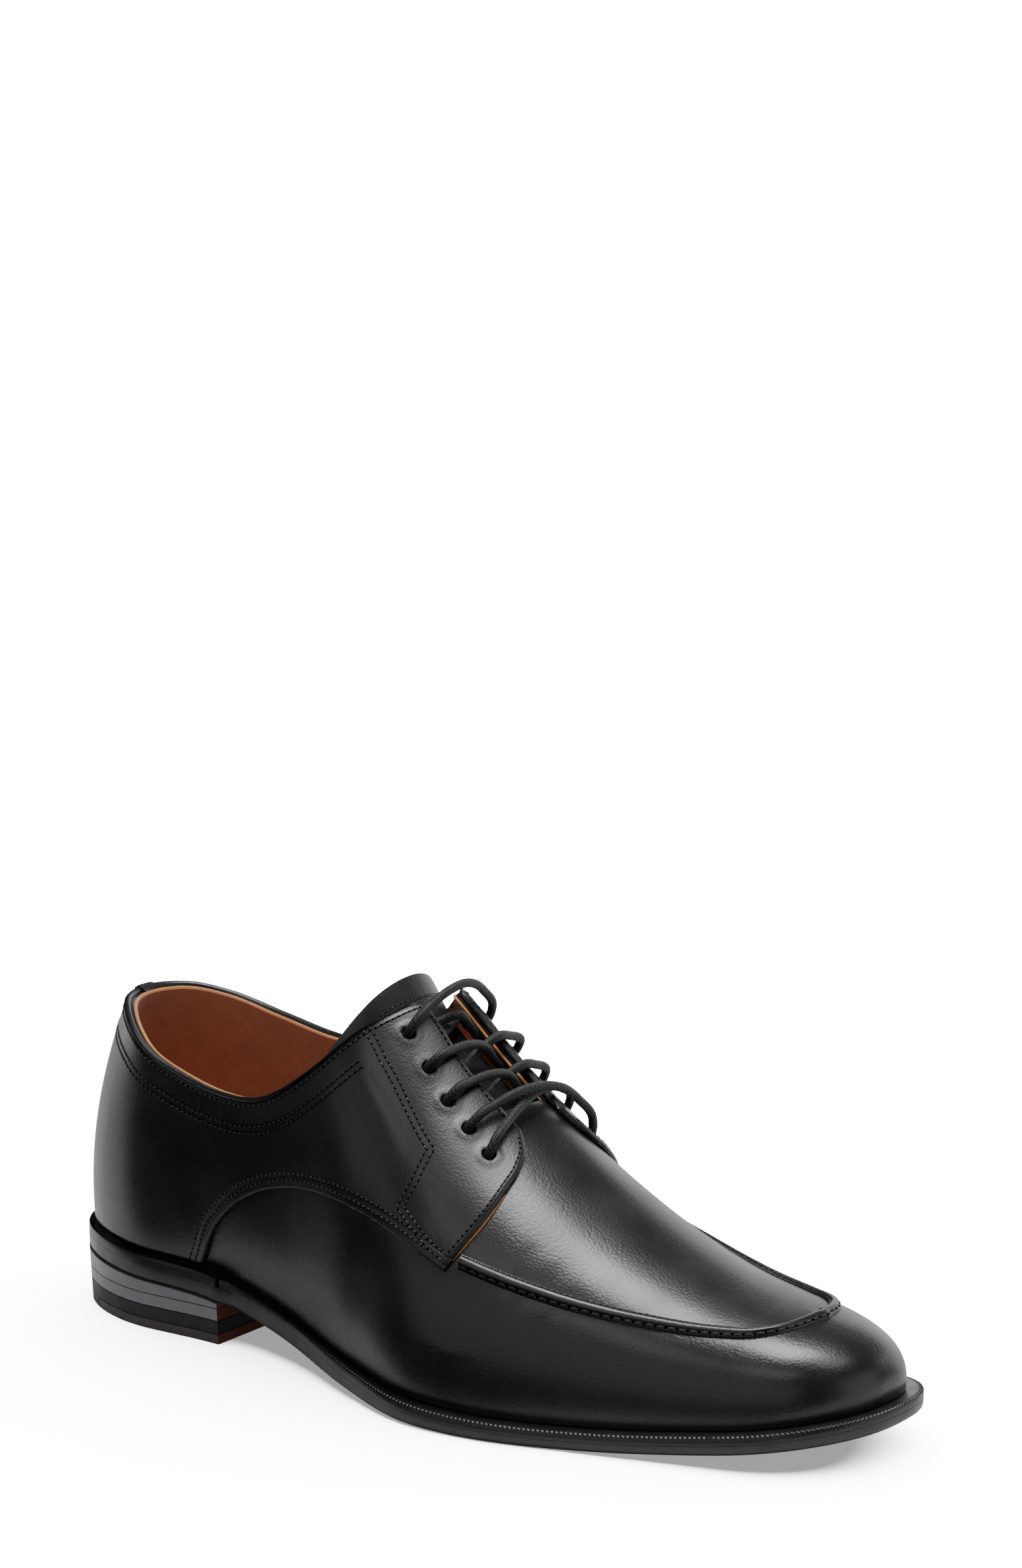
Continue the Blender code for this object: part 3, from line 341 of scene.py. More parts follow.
@functools.lru_cache(maxsize=None)
def plan(side, turn):
    """Edge of the sole in plan."""
    half = HALF[side]
    if turn < HEEL_TURN:
        angle = math.pi / 2 * turn / HEEL_TURN
        share = HEEL_END * (1 - math.cos(angle) ** (2 / HEEL_ROUND))
        out = PLAN.at(share, half) * math.sin(angle) ** (2 / HEEL_ROUND)
        return np.array([share * SOLE_LENGTH, side * out * BALL_WIDTH])
    if turn <= TOE_TURN:
        share = HEEL_END + (TOE_END - HEEL_END) * (turn - HEEL_TURN) / (TOE_TURN - HEEL_TURN)
        return np.array([share * SOLE_LENGTH, side * PLAN.at(share, half) * BALL_WIDTH])
    angle = math.pi / 2 * (turn - TOE_TURN) / (1 - TOE_TURN)
    share = TOE_END + (1 - TOE_END) * math.sin(angle) ** (2 / TOE_ROUND)
    shrink = max(math.cos(angle), 0.0) ** (2 / TOE_ROUND)
    out = TOE_AXIS + (side * PLAN.at(share, half) - TOE_AXIS) * shrink
    return np.array([share * SOLE_LENGTH, out * BALL_WIDTH])


def turn_at(share):
    """The turn at which the straight stretch of the plan passes a share of the length."""
    return HEEL_TURN + (TOE_TURN - HEEL_TURN) * (share - HEEL_END) / (TOE_END - HEEL_END)


def plan_inset(side, turn, inset):
    """Edge of the sole moved inwards, square to itself."""
    step = 0.004
    along = plan(side, min(turn + step, 1.0)) - plan(side, max(turn - step, 0.0))
    if turn <= 0.0:
        along = np.array([0.0, float(side)])
    if turn >= 1.0:
        along = np.array([0.0, -float(side)])
    inward = np.array([along[1], -along[0]]) * side / np.linalg.norm(along)
    return plan(side, turn) + inward * inset


def share_of(point):
    return min(max(point[0] / SOLE_LENGTH, 0.0), 1.0)


@functools.lru_cache(maxsize=None)
def rib(side, turn):
    """Five handles of the rib that rises from the lower edge to the top ridge."""
    edge = plan(side, turn)
    share = share_of(edge)
    foot = plan_inset(side, turn, LEDGE.at(share, "inset"))
    if turn < HEEL_TURN:
        top_share = HEEL_END
        axis = np.array([HEEL_END * SOLE_LENGTH, 0.0])
        height_share = share
    else:
        top_share = share
        if turn > TOE_TURN:
            slide = (turn - TOE_TURN) / (1 - TOE_TURN)
            top_share = TOE_END + (RIDGE_END - TOE_END) * slide
        axis = np.array([top_share * SOLE_LENGTH, PLAN.at(top_share, "ridge") * BALL_WIDTH])
        height_share = top_share
    reach = np.linalg.norm(foot - axis)
    out = (foot - axis) / reach
    low = lower_edge(share_of(foot))
    rise = INSTEP_HEIGHT * RIDGE.at(height_share, "height") + lower_edge(height_share) - low
    fall = 0.0
    if turn > TOE_TURN:
        step = 0.01
        ahead = min(top_share + step, RIDGE_END)
        behind = top_share - step
        ridge = [INSTEP_HEIGHT * RIDGE.at(s, "height") + lower_edge(s) for s in (behind, ahead)]
        fall = (ridge[1] - ridge[0]) / ((ahead - behind) * SOLE_LENGTH)
    ribs = LATERAL_RIBS if side < 0 else MEDIAL_RIBS
    widths = [1.0] + [ribs.at(share, "w%d" % k) for k in (1, 2, 3, 4)]
    heights = [0.0] + [ribs.at(share, "h%d" % k) for k in (1, 2, 3)] + [1.0]
    lean = (0.0, 0.0, 0.5, 1.0, 1.0)
    handles = []
    for width, height, share_lean in zip(widths, heights, lean):
        spot = axis + out * width * reach
        handles.append((spot[0], spot[1], low + height * rise + share_lean * fall * (spot[0] - axis[0])))
    return np.array(handles)


def weights(degree, up):
    up = np.asarray(up, dtype=float)
    return np.stack([math.comb(degree, k) * up ** k * (1 - up) ** (degree - k)
                     for k in range(degree + 1)], axis=-1)


def surface(side, turn, up):
    return weights(4, up) @ rib(side, turn)


def rise_direction(side, turn, up):
    handles = rib(side, turn)
    return weights(3, up) @ (handles[1:] - handles[:-1])


def unit(vectors):
    return vectors / np.linalg.norm(vectors, axis=-1, keepdims=True)


def normal(side, turn, up):
    step = 0.002
    along = surface(side, min(turn + step, 1.0), up) - surface(side, max(turn - step, 0.0), up)
    across = np.cross(along, rise_direction(side, turn, up)) * -side
    if turn <= 0.0 or turn >= 1.0:
        across[..., 1] = 0.0
    return unit(across)


def lifted(side, turn, up, lift):
    """Points of the last's surface, moved off it by a lift; up and lift may be arrays."""
    return surface(side, turn, up) + normal(side, turn, up) * np.asarray(lift, dtype=float)[..., None]


@functools.lru_cache(maxsize=None)
def up_at_height(side, turn, height):
    """Where a rib reaches a height above the welt."""
    if height <= 0.0:
        return 0.0
    ups = np.linspace(0, 1, 161)
    target = height + lower_edge(share_of(plan(side, turn)))
    return float(np.interp(target, surface(side, turn, ups)[:, 2], ups))


def run_of(points):
    """Length of a line from its start to each of its points."""
    return np.concatenate([[0.0], np.cumsum(np.linalg.norm(np.diff(points, axis=0), axis=1))])


@functools.lru_cache(maxsize=None)
def up_at_reach(side, turn, reach):
    """Where a rib, followed down from the ridge over the leather, is a distance away from it."""
    ups = np.linspace(1, 0, 121)
    return float(np.interp(reach, run_of(surface(side, turn, ups)), ups))


# Collar edge above the welt, shares of the collar height, and the facings' edges
COLLAR_HEIGHT = 0.0765
THROAT = 0.024
THROAT_LENGTH = 0.034
FACING_TOP = 0.43
THROAT_END = FACING_TOP + THROAT_LENGTH / SOLE_LENGTH
CORNER = (0.09, 0.02)
CORNER_BLEND = 0.018
COLLAR = Table("share lateral medial",
               (0.00, 1.000, 1.000), (0.05, 0.990, 0.995), (0.10, 0.945, 0.965),
               (0.17, 0.845, 0.900), (0.24, 0.805, 0.870), (0.30, 0.870, 0.920),
               (0.36, 1.080, 1.090), (0.40, 1.270, 1.270), (0.44, 1.420, 1.420))


@functools.lru_cache(maxsize=None)
def rim(side, turn):
    """Upper limit of the quarters on a rib: the collar edge or the facing edge."""
    share = share_of(plan(side, turn))
    half = HALF[side]
    facing = up_at_reach(side, turn, THROAT / 2) if share > HEEL_END else 1.0
    if share > FACING_TOP + CORNER[1]:
        return facing
    collar = up_at_height(side, turn, COLLAR_HEIGHT * COLLAR.at(share, half))
    if share < FACING_TOP - CORNER[0]:
        return collar
    low, high = min(collar, facing), max(collar, facing)
    return low - CORNER_BLEND * math.log(1 + math.exp((low - high) / CORNER_BLEND))
def joined(*stretches):
    """Even steps over stretches of start, end and count that follow each other."""
    steps = [np.linspace(*stretch) for stretch in stretches]
    return np.concatenate([steps[0]] + [more[1:] for more in steps[1:]]).tolist()


def round_heel(half):
    """Path from the end of the outer half round the heel back to the end of the inner half."""
    return [(-1, turn) for turn in half[::-1]] + [(1, turn) for turn in half[1:]]


def round_toe(outer_half, inner_half):
    """Path up the outer half to the toe tip and back down the inner half."""
    return [(-1, turn) for turn in outer_half] + [(1, turn) for turn in inner_half[-2::-1]]


# Vamp and toe
# One piece of pebbled black calf with its lining, pulled over the last and drawn in under the
# sole. It runs back under the quarters to the heel, so it also holds the collar's form.
WALL = 0.0018                   # leather and lining together
EYELET = 0.0046
EYELET_INSET = 0.0125
EYELET_SPREAD = 0.0040
EYELET_COUNT = 5
EYELETS_FRONT = 0.556
EYELETS_BACK = 0.438
PUNCH = 0.014                   # length of the punch through both skins
PUCKER = 0.00022                # how far the leather stands up round a punched hole
PUCKER_RADIUS = 0.0031
PUCKER_WIDTH = 0.0009
FOLD_FADE = 8.0                 # folds die out over this many millimetres towards the middle plane
GROOVE_LIP, GROOVE_FLOOR = 0.7, 0.1     # height beside a row of stitches and under it, shares of the depth
GROOVE_WIDTH = 0.6              # from the row to the lip, millimetres
PATCH_DEPTH = 0.0003            # slow waves of the hide


def relief(tree, source, span, stops):
    """Turns a distance into a height from 0 to 1; stops are pairs of distance and height."""
    share = add(tree, "MapRange", {"Value": source, "From Max": span})
    ramp = add(tree, "ValToRGB", {"Fac": share.outputs[0]})
    points = ramp.color_ramp.elements
    while len(points) < len(stops):
        points.new(1.0)
    for point, (distance, height) in zip(points, stops):
        point.position = distance / span
        point.color = (height, height, height, 1.0)
    return ramp.outputs["Color"]


def groove(rows, span):
    """Stops of a profile with a dip at each row, all in millimetres."""
    stops = [(0.0, GROOVE_LIP)]
    for row in rows:
        stops += [(row - GROOVE_WIDTH, GROOVE_LIP), (row, GROOVE_FLOOR), (row + GROOVE_WIDTH, GROOVE_LIP)]
    return stops + [(span, GROOVE_LIP)]


def calf(name, tone, worn, roughness, cell, depth, seams=()):
    """Black calf; cell is a pebble's width, depth its height; seams hold attribute, span, depth and rows."""
    made, tree = finish_of(name)
    place = add(tree, "TexCoord").outputs["Object"]
    drawn = add(tree, "Mapping", {"Vector": place, "Scale": (0.8, 1.0, 1.15)}).outputs[0]
    pebbles = add(tree, "TexVoronoi", {"Vector": drawn, "Scale": 1 / cell}).outputs["Distance"]
    patches = noise(tree, 42.0, 4.0, place)
    gloss = add(tree, "MapRange", {"Value": patches, "From Min": 0.3, "From Max": 0.7,
                                   "To Min": roughness - 0.05, "To Max": roughness + 0.07})
    skin = bumped(tree, pebbles, depth, invert=True)
    skin = bumped(tree, noise(tree, 3.1 / cell, 3.0, place), depth / 2, 0.2, skin)
    skin = bumped(tree, patches, PATCH_DEPTH, 0.4, skin)
    for attribute, span, deep, rows in seams:
        gap = add(tree, "Attribute", attribute_name=attribute).outputs["Fac"]
        skin = bumped(tree, relief(tree, gap, span, groove(rows, span)), deep, 1.0, skin)
    close(tree, add(tree, "BsdfPrincipled", {
        "Base Color": blend(tree, patches, tone, worn), "Roughness": gloss.outputs[0], "Normal": skin,
        "Coat Weight": 0.25, "Coat Roughness": 0.22}))
    return made


# Fine-grained calf, waxed: a close flat grain under a soft sheen
vamp_calf = calf("pebbled_black_calf", "#18181b", "#1f1e21", 0.34, 0.0009, 0.00005)


def solid(name, points, faces, finish, node, slot, sharp=40):
    """A piece that rides on the shoe and stands for a CAD node."""
    bm = bmesh.new()
    corners = [bm.verts.new(HEEL_BACK + Vector(p)) for p in points]
    for face in faces:
        bm.faces.new([corners[k] for k in face])
    bmesh.ops.remove_doubles(bm, verts=bm.verts, dist=2e-5)
    bmesh.ops.dissolve_degenerate(bm, dist=1e-6, edges=bm.edges)
    bmesh.ops.recalc_face_normals(bm, faces=bm.faces)
    mesh = bpy.data.meshes.new(name)
    bm.to_mesh(mesh)
    bm.free()
    mesh.shade_smooth()
    mesh.set_sharp_from_angle(angle=math.radians(sharp))
    mesh.materials.append(finish)
    piece = link(bpy.data.objects.new(name, mesh))
    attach(piece, "root")
    if node:
        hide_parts(node)
    return piece


def shell(outer, inner, around=False, sealed=()):
    """Points and faces of a closed skin between two grids."""
    outer, inner = np.asarray(outer), np.asarray(inner)
    rows, columns = outer.shape[:2]
    top = np.arange(rows * columns).reshape(rows, columns).tolist()
    under = (np.arange(rows * columns) + rows * columns).reshape(rows, columns).tolist()
    faces = []
    for i in range(rows if around else rows - 1):
        j = (i + 1) % rows
        for k in range(columns - 1):
            faces.append((top[i][k], top[j][k], top[j][k + 1], top[i][k + 1]))
            faces.append((under[i][k + 1], under[j][k + 1], under[j][k], under[i][k]))
        faces.append((top[i][0], under[i][0], under[j][0], top[j][0]))
        if i not in sealed or j not in sealed:
            faces.append((top[i][-1], top[j][-1], under[j][-1], under[i][-1]))
    if not around:
        for i in (0, rows - 1):
            for k in range(columns - 1):
                faces.append((top[i][k], top[i][k + 1], under[i][k + 1], under[i][k]))
    return np.concatenate([outer.reshape(-1, 3), inner.reshape(-1, 3)]), faces


def column(side, turn, ups, lifts):
    line = lifted(side, turn, ups, lifts)
    if ups[-1] >= 1.0:
        line[-1] = (line[-1] + lifted(-side, turn, 1.0, np.broadcast_to(lifts, ups.shape)[-1])) / 2
    return line


def folds_at(points, folds):
    """Height of the folds; each is a side, its line as x and z, a width and a rise, all in millimetres."""
    height = np.zeros(points.shape[:-1])
    profile = points[..., (0, 2)] * 1000
    for side, line, width, rise in folds:
        nearest = np.full(height.shape, np.inf)
        along = np.zeros(height.shape)
        corners = np.array(line, dtype=float)
        for k, (a, b) in enumerate(zip(corners, corners[1:])):
            t = np.clip((profile - a) @ (b - a) / np.dot(b - a, b - a), 0, 1)
            gap = np.linalg.norm(profile - a - t[..., None] * (b - a), axis=-1)
            closer = gap < nearest
            nearest = np.where(closer, gap, nearest)
            along = np.where(closer, (k + t) / (len(corners) - 1), along)
        beside = np.clip(points[..., 1] * side * 1000 / FOLD_FADE, 0, 1)
        height += rise / 1000 * np.exp(-(nearest / width) ** 2) * np.sin(np.pi * along) ** 0.5 * beside
    return height


def eyelet_place(side, number):
    """Turn of a hole and its distance from the ridge line, counted from 1 at the toe end."""
    step = (EYELET_COUNT - number) / (EYELET_COUNT - 1)
    share = EYELETS_FRONT + (EYELETS_BACK - EYELETS_FRONT) * (1 - step)
    return turn_at(share), side * (THROAT / 2 + EYELET_INSET + EYELET_SPREAD * step)


def over_throat(turn, place, height):
    """A point at a height off the dome of the instep; place is the distance from the ridge line."""
    side = -1 if place < 0 else 1
    return lifted(side, turn, up_at_reach(side, turn, abs(place)), height)


holes = [(over_throat(*eyelet_place(side, n), 0.0), over_throat(*eyelet_place(side, n), 1.0))
         for side in SIDES for n in range(1, EYELET_COUNT + 1)]


def puckers_at(points):
    height = np.zeros(points.shape[:-1])
    for middle, _ in holes:
        gap = np.linalg.norm(points - middle, axis=-1)
        height += PUCKER * np.exp(-((gap - PUCKER_RADIUS) / PUCKER_WIDTH) ** 2)
    return height


def punch_holes(piece):
    """Cuts the lace holes with one hidden guide of rods."""
    guide = bpy.data.objects.get("hole_punch")
    if guide is None:
        mesh = bpy.data.meshes.new("hole_punch")
        bm = bmesh.new()
        for middle, out in holes:
            aim = Vector(out - middle).to_track_quat('Z', 'Y').to_matrix().to_4x4()
            bmesh.ops.create_cone(bm, cap_ends=True, segments=24, radius1=EYELET / 2, radius2=EYELET / 2,
                                  depth=PUNCH, matrix=Matrix.Translation(HEEL_BACK + Vector(middle)) @ aim)
        bm.to_mesh(mesh)
        bm.free()
        guide = link(bpy.data.objects.new("hole_punch", mesh))
        guide.hide_render = True
    cut = piece.modifiers.new("holes", 'BOOLEAN')
    cut.operation, cut.solver, cut.object = 'DIFFERENCE', 'EXACT', guide


# Soft break lines where the forefoot bends, and the draft marks over the toe's edge
VAMP_FOLDS = (
    (-1, ((187, 34), (191, 46), (197, 56)), 2.6, -0.22), (-1, ((195, 31), (200, 43), (207, 51)), 3.0, -0.18),
    (-1, ((204, 28), (209, 38), (215, 45)), 2.4, -0.12), (1, ((190, 34), (195, 46), (200, 55)), 2.8, -0.20),
    (-1, ((170, 27), (180, 25), (190, 26)), 2.0, 0.14))

throat_turn = turn_at(THROAT_END)
stations = joined((0, HEEL_TURN, 24), (HEEL_TURN, throat_turn, 70), (throat_turn, TOE_TURN, 70),
                  (TOE_TURN, 1, 50))
outer, inner, sealed = [], [], set()
for row, (side, turn) in enumerate(round_toe(stations, stations)[:-1]):
    closed = turn >= throat_turn
    ups = np.linspace(0, 1.0 if closed else rim(side, turn), 64)
    outer.append(column(side, turn, ups, folds_at(lifted(side, turn, ups, 0.0), VAMP_FOLDS)))
    inner.append(column(side, turn, ups, -WALL))
    if closed:
        sealed.add(row)
punch_holes(solid("upper", *shell(outer, inner, True, sealed), vamp_calf, "upper", "calf"))

# Quarters
# Two calf sides in one, closed at the heel back and laid over the vamp. Their turned lower edge
# carries two rows of stitches, and the facings are punched without metal rings.
QUARTER_THICKNESS = 0.0016
QUARTER_FRONT = 0.590
QUARTER_FOOT = 0.0013
SKIN_GAP = 0.0005
EDGE_ROLL = 0.0011              # radius of the turned edge
ARC_ROWS = (2.5, 4.7)           # stitch rows from the lower edge, millimetres
EDGE_ROW = 2.1                  # the one row along the collar, the facings and the front edge
BAND_ROWS = (8.6, 10.8)         # rows under the collar
LINE_ROW = 1.05                 # each row of the facing's double line from its middle
BAND_END = 0.388                # share of the length where the band meets that line
PITCH = 0.0021
STITCH_LIFT = 0.0001
ROW_DEPTH = 0.0004
EDGE_SPAN, BAND_SPAN = 8.0, 16.0        # reach of the stored distances, millimetres
EDGE_LEFT = 0.12                # share of the turned edge's radius at which it is cut off
ARC_TOP = 0.29                  # share of the length where the lower edge levels out
QUARTER_ARC = Table("share height",
                    (0.207, 0.000), (0.214, 0.045), (0.227, 0.145), (0.252, 0.262), (0.287, 0.372),
                    (0.331, 0.460), (0.392, 0.526), (0.470, 0.530), (0.525, 0.492), (0.590, 0.420))
QUARTER_EDGE = Table("up back",
                     (0.00, 0.022), (0.17, 0.012), (0.40, 0.002), (0.65, 0.000), (0.82, 0.004),
                     (0.93, 0.014), (1.00, 0.030))
# Fine folds beside the facing, at the collar's low point and where the arc meets the welt
QUARTER_FOLDS = (
    (-1, ((124, 97), (134, 88), (146, 76)), 0.9, -0.13), (-1, ((129, 99), (140, 89), (152, 77)), 0.8, -0.11),
    (-1, ((135, 99), (146, 89), (157, 78)), 0.8, -0.09), (-1, ((120, 93), (129, 84), (139, 73)), 1.1, -0.10),
    (-1, ((154, 66), (161, 60), (169, 55)), 1.2, 0.10), (-1, ((150, 72), (160, 71), (171, 66)), 0.7, -0.08),
    (-1, ((60, 82), (60, 78), (61, 73)), 0.7, -0.12), (-1, ((63, 82), (64, 77), (64, 73)), 0.6, -0.10),
    (-1, ((67, 82), (67, 77), (68, 72)), 0.7, -0.12), (-1, ((71, 82), (71, 77), (72, 73)), 0.6, -0.10),
    (-1, ((75, 83), (76, 78), (76, 74)), 0.7, -0.10), (-1, ((56, 83), (56, 79), (57, 74)), 0.6, -0.08),
    (-1, ((70, 37), (78, 42), (88, 45)), 1.8, -0.16), (-1, ((67, 30), (73, 35), (81, 39)), 1.4, 0.12),
    (1, ((126, 97), (136, 88), (147, 76)), 0.9, -0.12), (1, ((64, 84), (65, 79), (65, 74)), 0.7, -0.10))


def quarter_place(side, line_turn, along):
    """Turn and up on one line of the quarters, from its lower edge to the collar or facing edge."""
    pull_from = turn_at(FACING_TOP)
    pull = min(max((line_turn - pull_from) / (turn_at(QUARTER_FRONT) - pull_from), 0.0), 1.0) ** 2
    per_share = (TOE_TURN - HEEL_TURN) / (TOE_END - HEEL_END)
    turn = line_turn - pull * per_share * QUARTER_EDGE.at(along, "back")
    share = share_of(plan(side, turn))
    height = INSTEP_HEIGHT * QUARTER_ARC.at(share, "height") if turn > HEEL_TURN else 0.0
    low = up_at_height(side, turn, max(height, QUARTER_FOOT))
    return turn, low + (rim(side, turn) - low) * along


edge_steps = np.array([0.0, 0.0015, 0.004, 0.008, 0.013, 0.02, 0.03])
rows_up = np.concatenate([edge_steps, np.linspace(0.04, 0.96, 58), 1 - edge_steps[::-1]]).tolist()
front_steps = (0.012, 0.009, 0.0065, 0.0045, 0.003, 0.0018, 0.0008, 0.0)
arc_start, arc_top = turn_at(QUARTER_ARC.rows[0][0]), turn_at(ARC_TOP)
facing_start, front = turn_at(FACING_TOP), turn_at(QUARTER_FRONT)
lines = joined((0, HEEL_TURN, 34), (HEEL_TURN, arc_start, 8), (arc_start, arc_top, 60),
               (arc_top, facing_start, 56), (facing_start, front - front_steps[0], 48))
lines += [front - step for step in front_steps[1:]]
base, outward = [], []
for side in SIDES:
    places = [[quarter_place(side, line_turn, along) for along in rows_up] for line_turn in lines]
    base.append([[surface(side, *place) for place in line] for line in places])
    outward.append([[normal(side, *place) for place in line] for line in places])
base = np.array(base[0][::-1] + base[1][1:])
outward = np.array(outward[0][::-1] + outward[1][1:])


def tree_of(points):
    tree = kdtree.KDTree(len(points))
    for k, point in enumerate(points):
        tree.insert(point, k)
    tree.balance()
    return tree


def read_at(marks, run, points):
    """Points of a line, or vectors along it, at given lengths."""
    return np.stack([np.interp(marks, run, points[:, axis]) for axis in range(3)], axis=1)


def dense(points, step=0.0005):
    """The same line with points at an even small step."""
    run = run_of(points)
    return read_at(np.arange(0.0, run[-1], step), run, np.asarray(points))


hem_line = np.concatenate([base[0, ::-1], base[1:-1, 0], base[-1]])
trees = [tree_of(dense(line)) for line in (hem_line, base[:, -1])]
edge_gap = np.array([min(tree.find(point)[2] for tree in trees) for point in base.reshape(-1, 3)])
rolled = 1 - np.clip(edge_gap.reshape(base.shape[:2]) / EDGE_ROLL, EDGE_LEFT, 1)
rolled = np.sqrt(1 - rolled ** 2)
lift = SKIN_GAP + QUARTER_THICKNESS * rolled + puckers_at(base) + folds_at(base, QUARTER_FOLDS) * rolled
outer = base + outward * lift[..., None]
inner = base + outward * SKIN_GAP


def line_on(side, *places):
    """Line on the last through places given as share of the length and up, and its outward side."""
    run, fine = np.linspace(0, 1, len(places)), np.linspace(0, 1, 16 * len(places))
    shares, ups = (np.interp(fine, run, values).tolist() for values in zip(*places))
    spots = [(turn_at(share), up) for share, up in zip(shares, ups)]
    return (np.array([surface(side, *spot) for spot in spots]),
            np.array([normal(side, *spot) for spot in spots]))


def mark(piece, name, edges, beyond, open_ends=()):
    """Stores each point's distance from the edges in millimetres; past an open end it is beyond."""
    trees = []
    for points in map(dense, edges):
        trees.append((tree_of(points), [k % len(points) for k in open_ends]))
    values = []
    for vertex in piece.data.vertices:
        gaps = [(tree.find(vertex.co - HEEL_BACK)[1:], ends) for tree, ends in trees]
        values.append(min([gap * 1000 for (k, gap), ends in gaps if k not in ends] + [beyond]))
    piece.data.attributes.new(name, 'FLOAT', 'POINT').data.foreach_set("value", values)


middle_line = len(lines) - 1
foot = int(np.searchsorted(lines, arc_start))
outer_arc, inner_arc = middle_line - foot + 1, middle_line + foot
band_reach = int(np.searchsorted(lines, turn_at(BAND_END)))
band = slice(middle_line - band_reach, middle_line + band_reach + 1)
facing_lines = [line_on(side, (0.384, 0.815), (0.389, 0.774), (0.429, 0.729), (0.468, 0.709), (0.507, 0.689),
                        (0.506, 0.609), (0.501, 0.528), (0.549, 0.496)) for side in SIDES]

# Smoother calf of the sides, with each sunk seam drawn by its distance from an edge
quarter_calf = calf("smooth_black_calf", "#18181b", "#1e1d20", 0.34, 0.0008, 0.00004, (
    ("arc_mm", EDGE_SPAN, ROW_DEPTH, ARC_ROWS), ("edge_mm", EDGE_SPAN, ROW_DEPTH, (EDGE_ROW,)),
    ("band_mm", BAND_SPAN, ROW_DEPTH * 0.75, BAND_ROWS), ("line_mm", EDGE_SPAN, ROW_DEPTH, (LINE_ROW,))))
quarters = solid("quarters", *shell(outer, inner), quarter_calf, "quarters", "calf")
mark(quarters, "arc_mm", [base[:outer_arc, 0][::-1], base[inner_arc:, 0]], EDGE_SPAN, (0,))
mark(quarters, "edge_mm", [base[0], base[-1], base[:, -1]], EDGE_SPAN)
mark(quarters, "band_mm", [base[band, -1]], BAND_SPAN, (0, -1))
mark(quarters, "line_mm", [line for line, _ in facing_lines], EDGE_SPAN)
punch_holes(quarters)

# Stitches
# Twisted black thread under wax, pulled down into the leather. At the end of each stitch a flat near-black
# bead stands for the needle hole: painted shade of the pit.
thread, tree = finish_of("waxed_black_thread")
twist = add(tree, "TexWave", {"Vector": add(tree, "TexCoord").outputs["Object"], "Scale": 900.0,
                              "Distortion": 2.0}, bands_direction='DIAGONAL').outputs["Fac"]
close(tree, add(tree, "BsdfPrincipled", {"Base Color": colour("#2a292c"), "Roughness": 0.45,
                                         "Normal": bumped(tree, twist, 0.0001, 0.8), "Coat Weight": 0.08}))
# Needle holes: near-black beads laid on the leather, painted shade in place of the dark of each pit
hole_shade, tree = finish_of("needle_holes_painted_shade")
close(tree, add(tree, "BsdfDiffuse", {"Color": blend(tree, noise(tree, 900.0), "#020202", "#060606")}))

RING, ENDS = 6, 5               # sides of a stitch and rings along it
STITCH_SHARE = 0.78             # of the pitch
HOLE_SIZE = 1.25                # of the thread
THREAD = 0.0005
CAST = 0.008                    # from how far out a row is dropped on the leather


def beads(centres, along, out, length, width, height):
    """Points and faces of rounded beads at the centres."""
    side = np.cross(out, along)
    points, faces = [], []
    for k in range(ENDS):
        angle = math.pi * (k + 0.35) / (ENDS - 0.3)
        for n in range(RING):
            turn = 2 * math.pi * n / RING
            points.append(-along * math.cos(angle) * length / 2
                          + math.sin(angle) * (side * math.cos(turn) * width / 2
                                               + out * math.sin(turn) * height / 2) + centres)
    cloud = np.stack(points, axis=1)
    for b in range(len(centres)):
        first = b * RING * ENDS
        for k in range(ENDS - 1):
            for n in range(RING):
                m = (n + 1) % RING
                low, high = first + k * RING, first + (k + 1) * RING
                faces.append((low + n, low + m, high + m, high + n))
        faces.append(tuple(range(first + RING - 1, first - 1, -1)))
        faces.append(tuple(range(first + (ENDS - 1) * RING, first + ENDS * RING)))
    return cloud.reshape(-1, 3), faces


def square_to(vectors, axes):
    """The vectors without their part along the axes."""
    return vectors - axes * np.sum(vectors * axes, axis=-1, keepdims=True)


def spaced(points, outs, pitch):
    """Places at an even pitch on a line, with its direction and the leather's outward side."""
    run = run_of(points)
    marks = np.arange(pitch / 2, run[-1], pitch)
    spots = read_at(marks, run, points)
    along = read_at(marks + pitch / 4, run, points) - spots
    along[-1] = along[-2]
    along = unit(along)
    return spots, along, unit(square_to(read_at(marks, run, outs), along))


def stitches(name, rows, yarn=thread):
    """Rows of stitches joined in one piece, each with a near-black bead of painted shade at its needle hole;
    a row is points, outward sides, pitch and thickness.
    """
    cloud, faces, kinds = [], [], []
    for points, outs, pitch, thick in rows:
        spots, along, out = spaced(points, outs, pitch)
        # Each stitch is a bead of thread, then at its needle hole a flat near-black bead: painted shade of
        # the pit
        for offset, length, width, height, kind in (
                (0.0, STITCH_SHARE * pitch, thick, thick * 0.8, 0),
                (pitch / 2, thick * HOLE_SIZE, thick * HOLE_SIZE, thick * 0.3, 1)):
            made, quads = beads(spots + along * offset, along, out, length, width, height)
            first = sum(len(c) for c in cloud)
            faces += [tuple(first + n for n in quad) for quad in quads]
            kinds += [kind] * len(quads)
            cloud.append(made)
    mesh = bpy.data.meshes.new(name)
    mesh.from_pydata((np.concatenate(cloud) + np.array(HEEL_BACK)).tolist(), [], faces)
    mesh.materials.append(yarn)
    mesh.materials.append(hole_shade)
    mesh.polygons.foreach_set("material_index", kinds)
    mesh.shade_smooth()
    piece = link(bpy.data.objects.new(name, mesh))
    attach(piece, "root")
    return piece


leather_tree = BVHTree.FromPolygons([v.co for v in quarters.data.vertices],
                                    [tuple(p.vertices) for p in quarters.data.polygons])
seam_rows = []


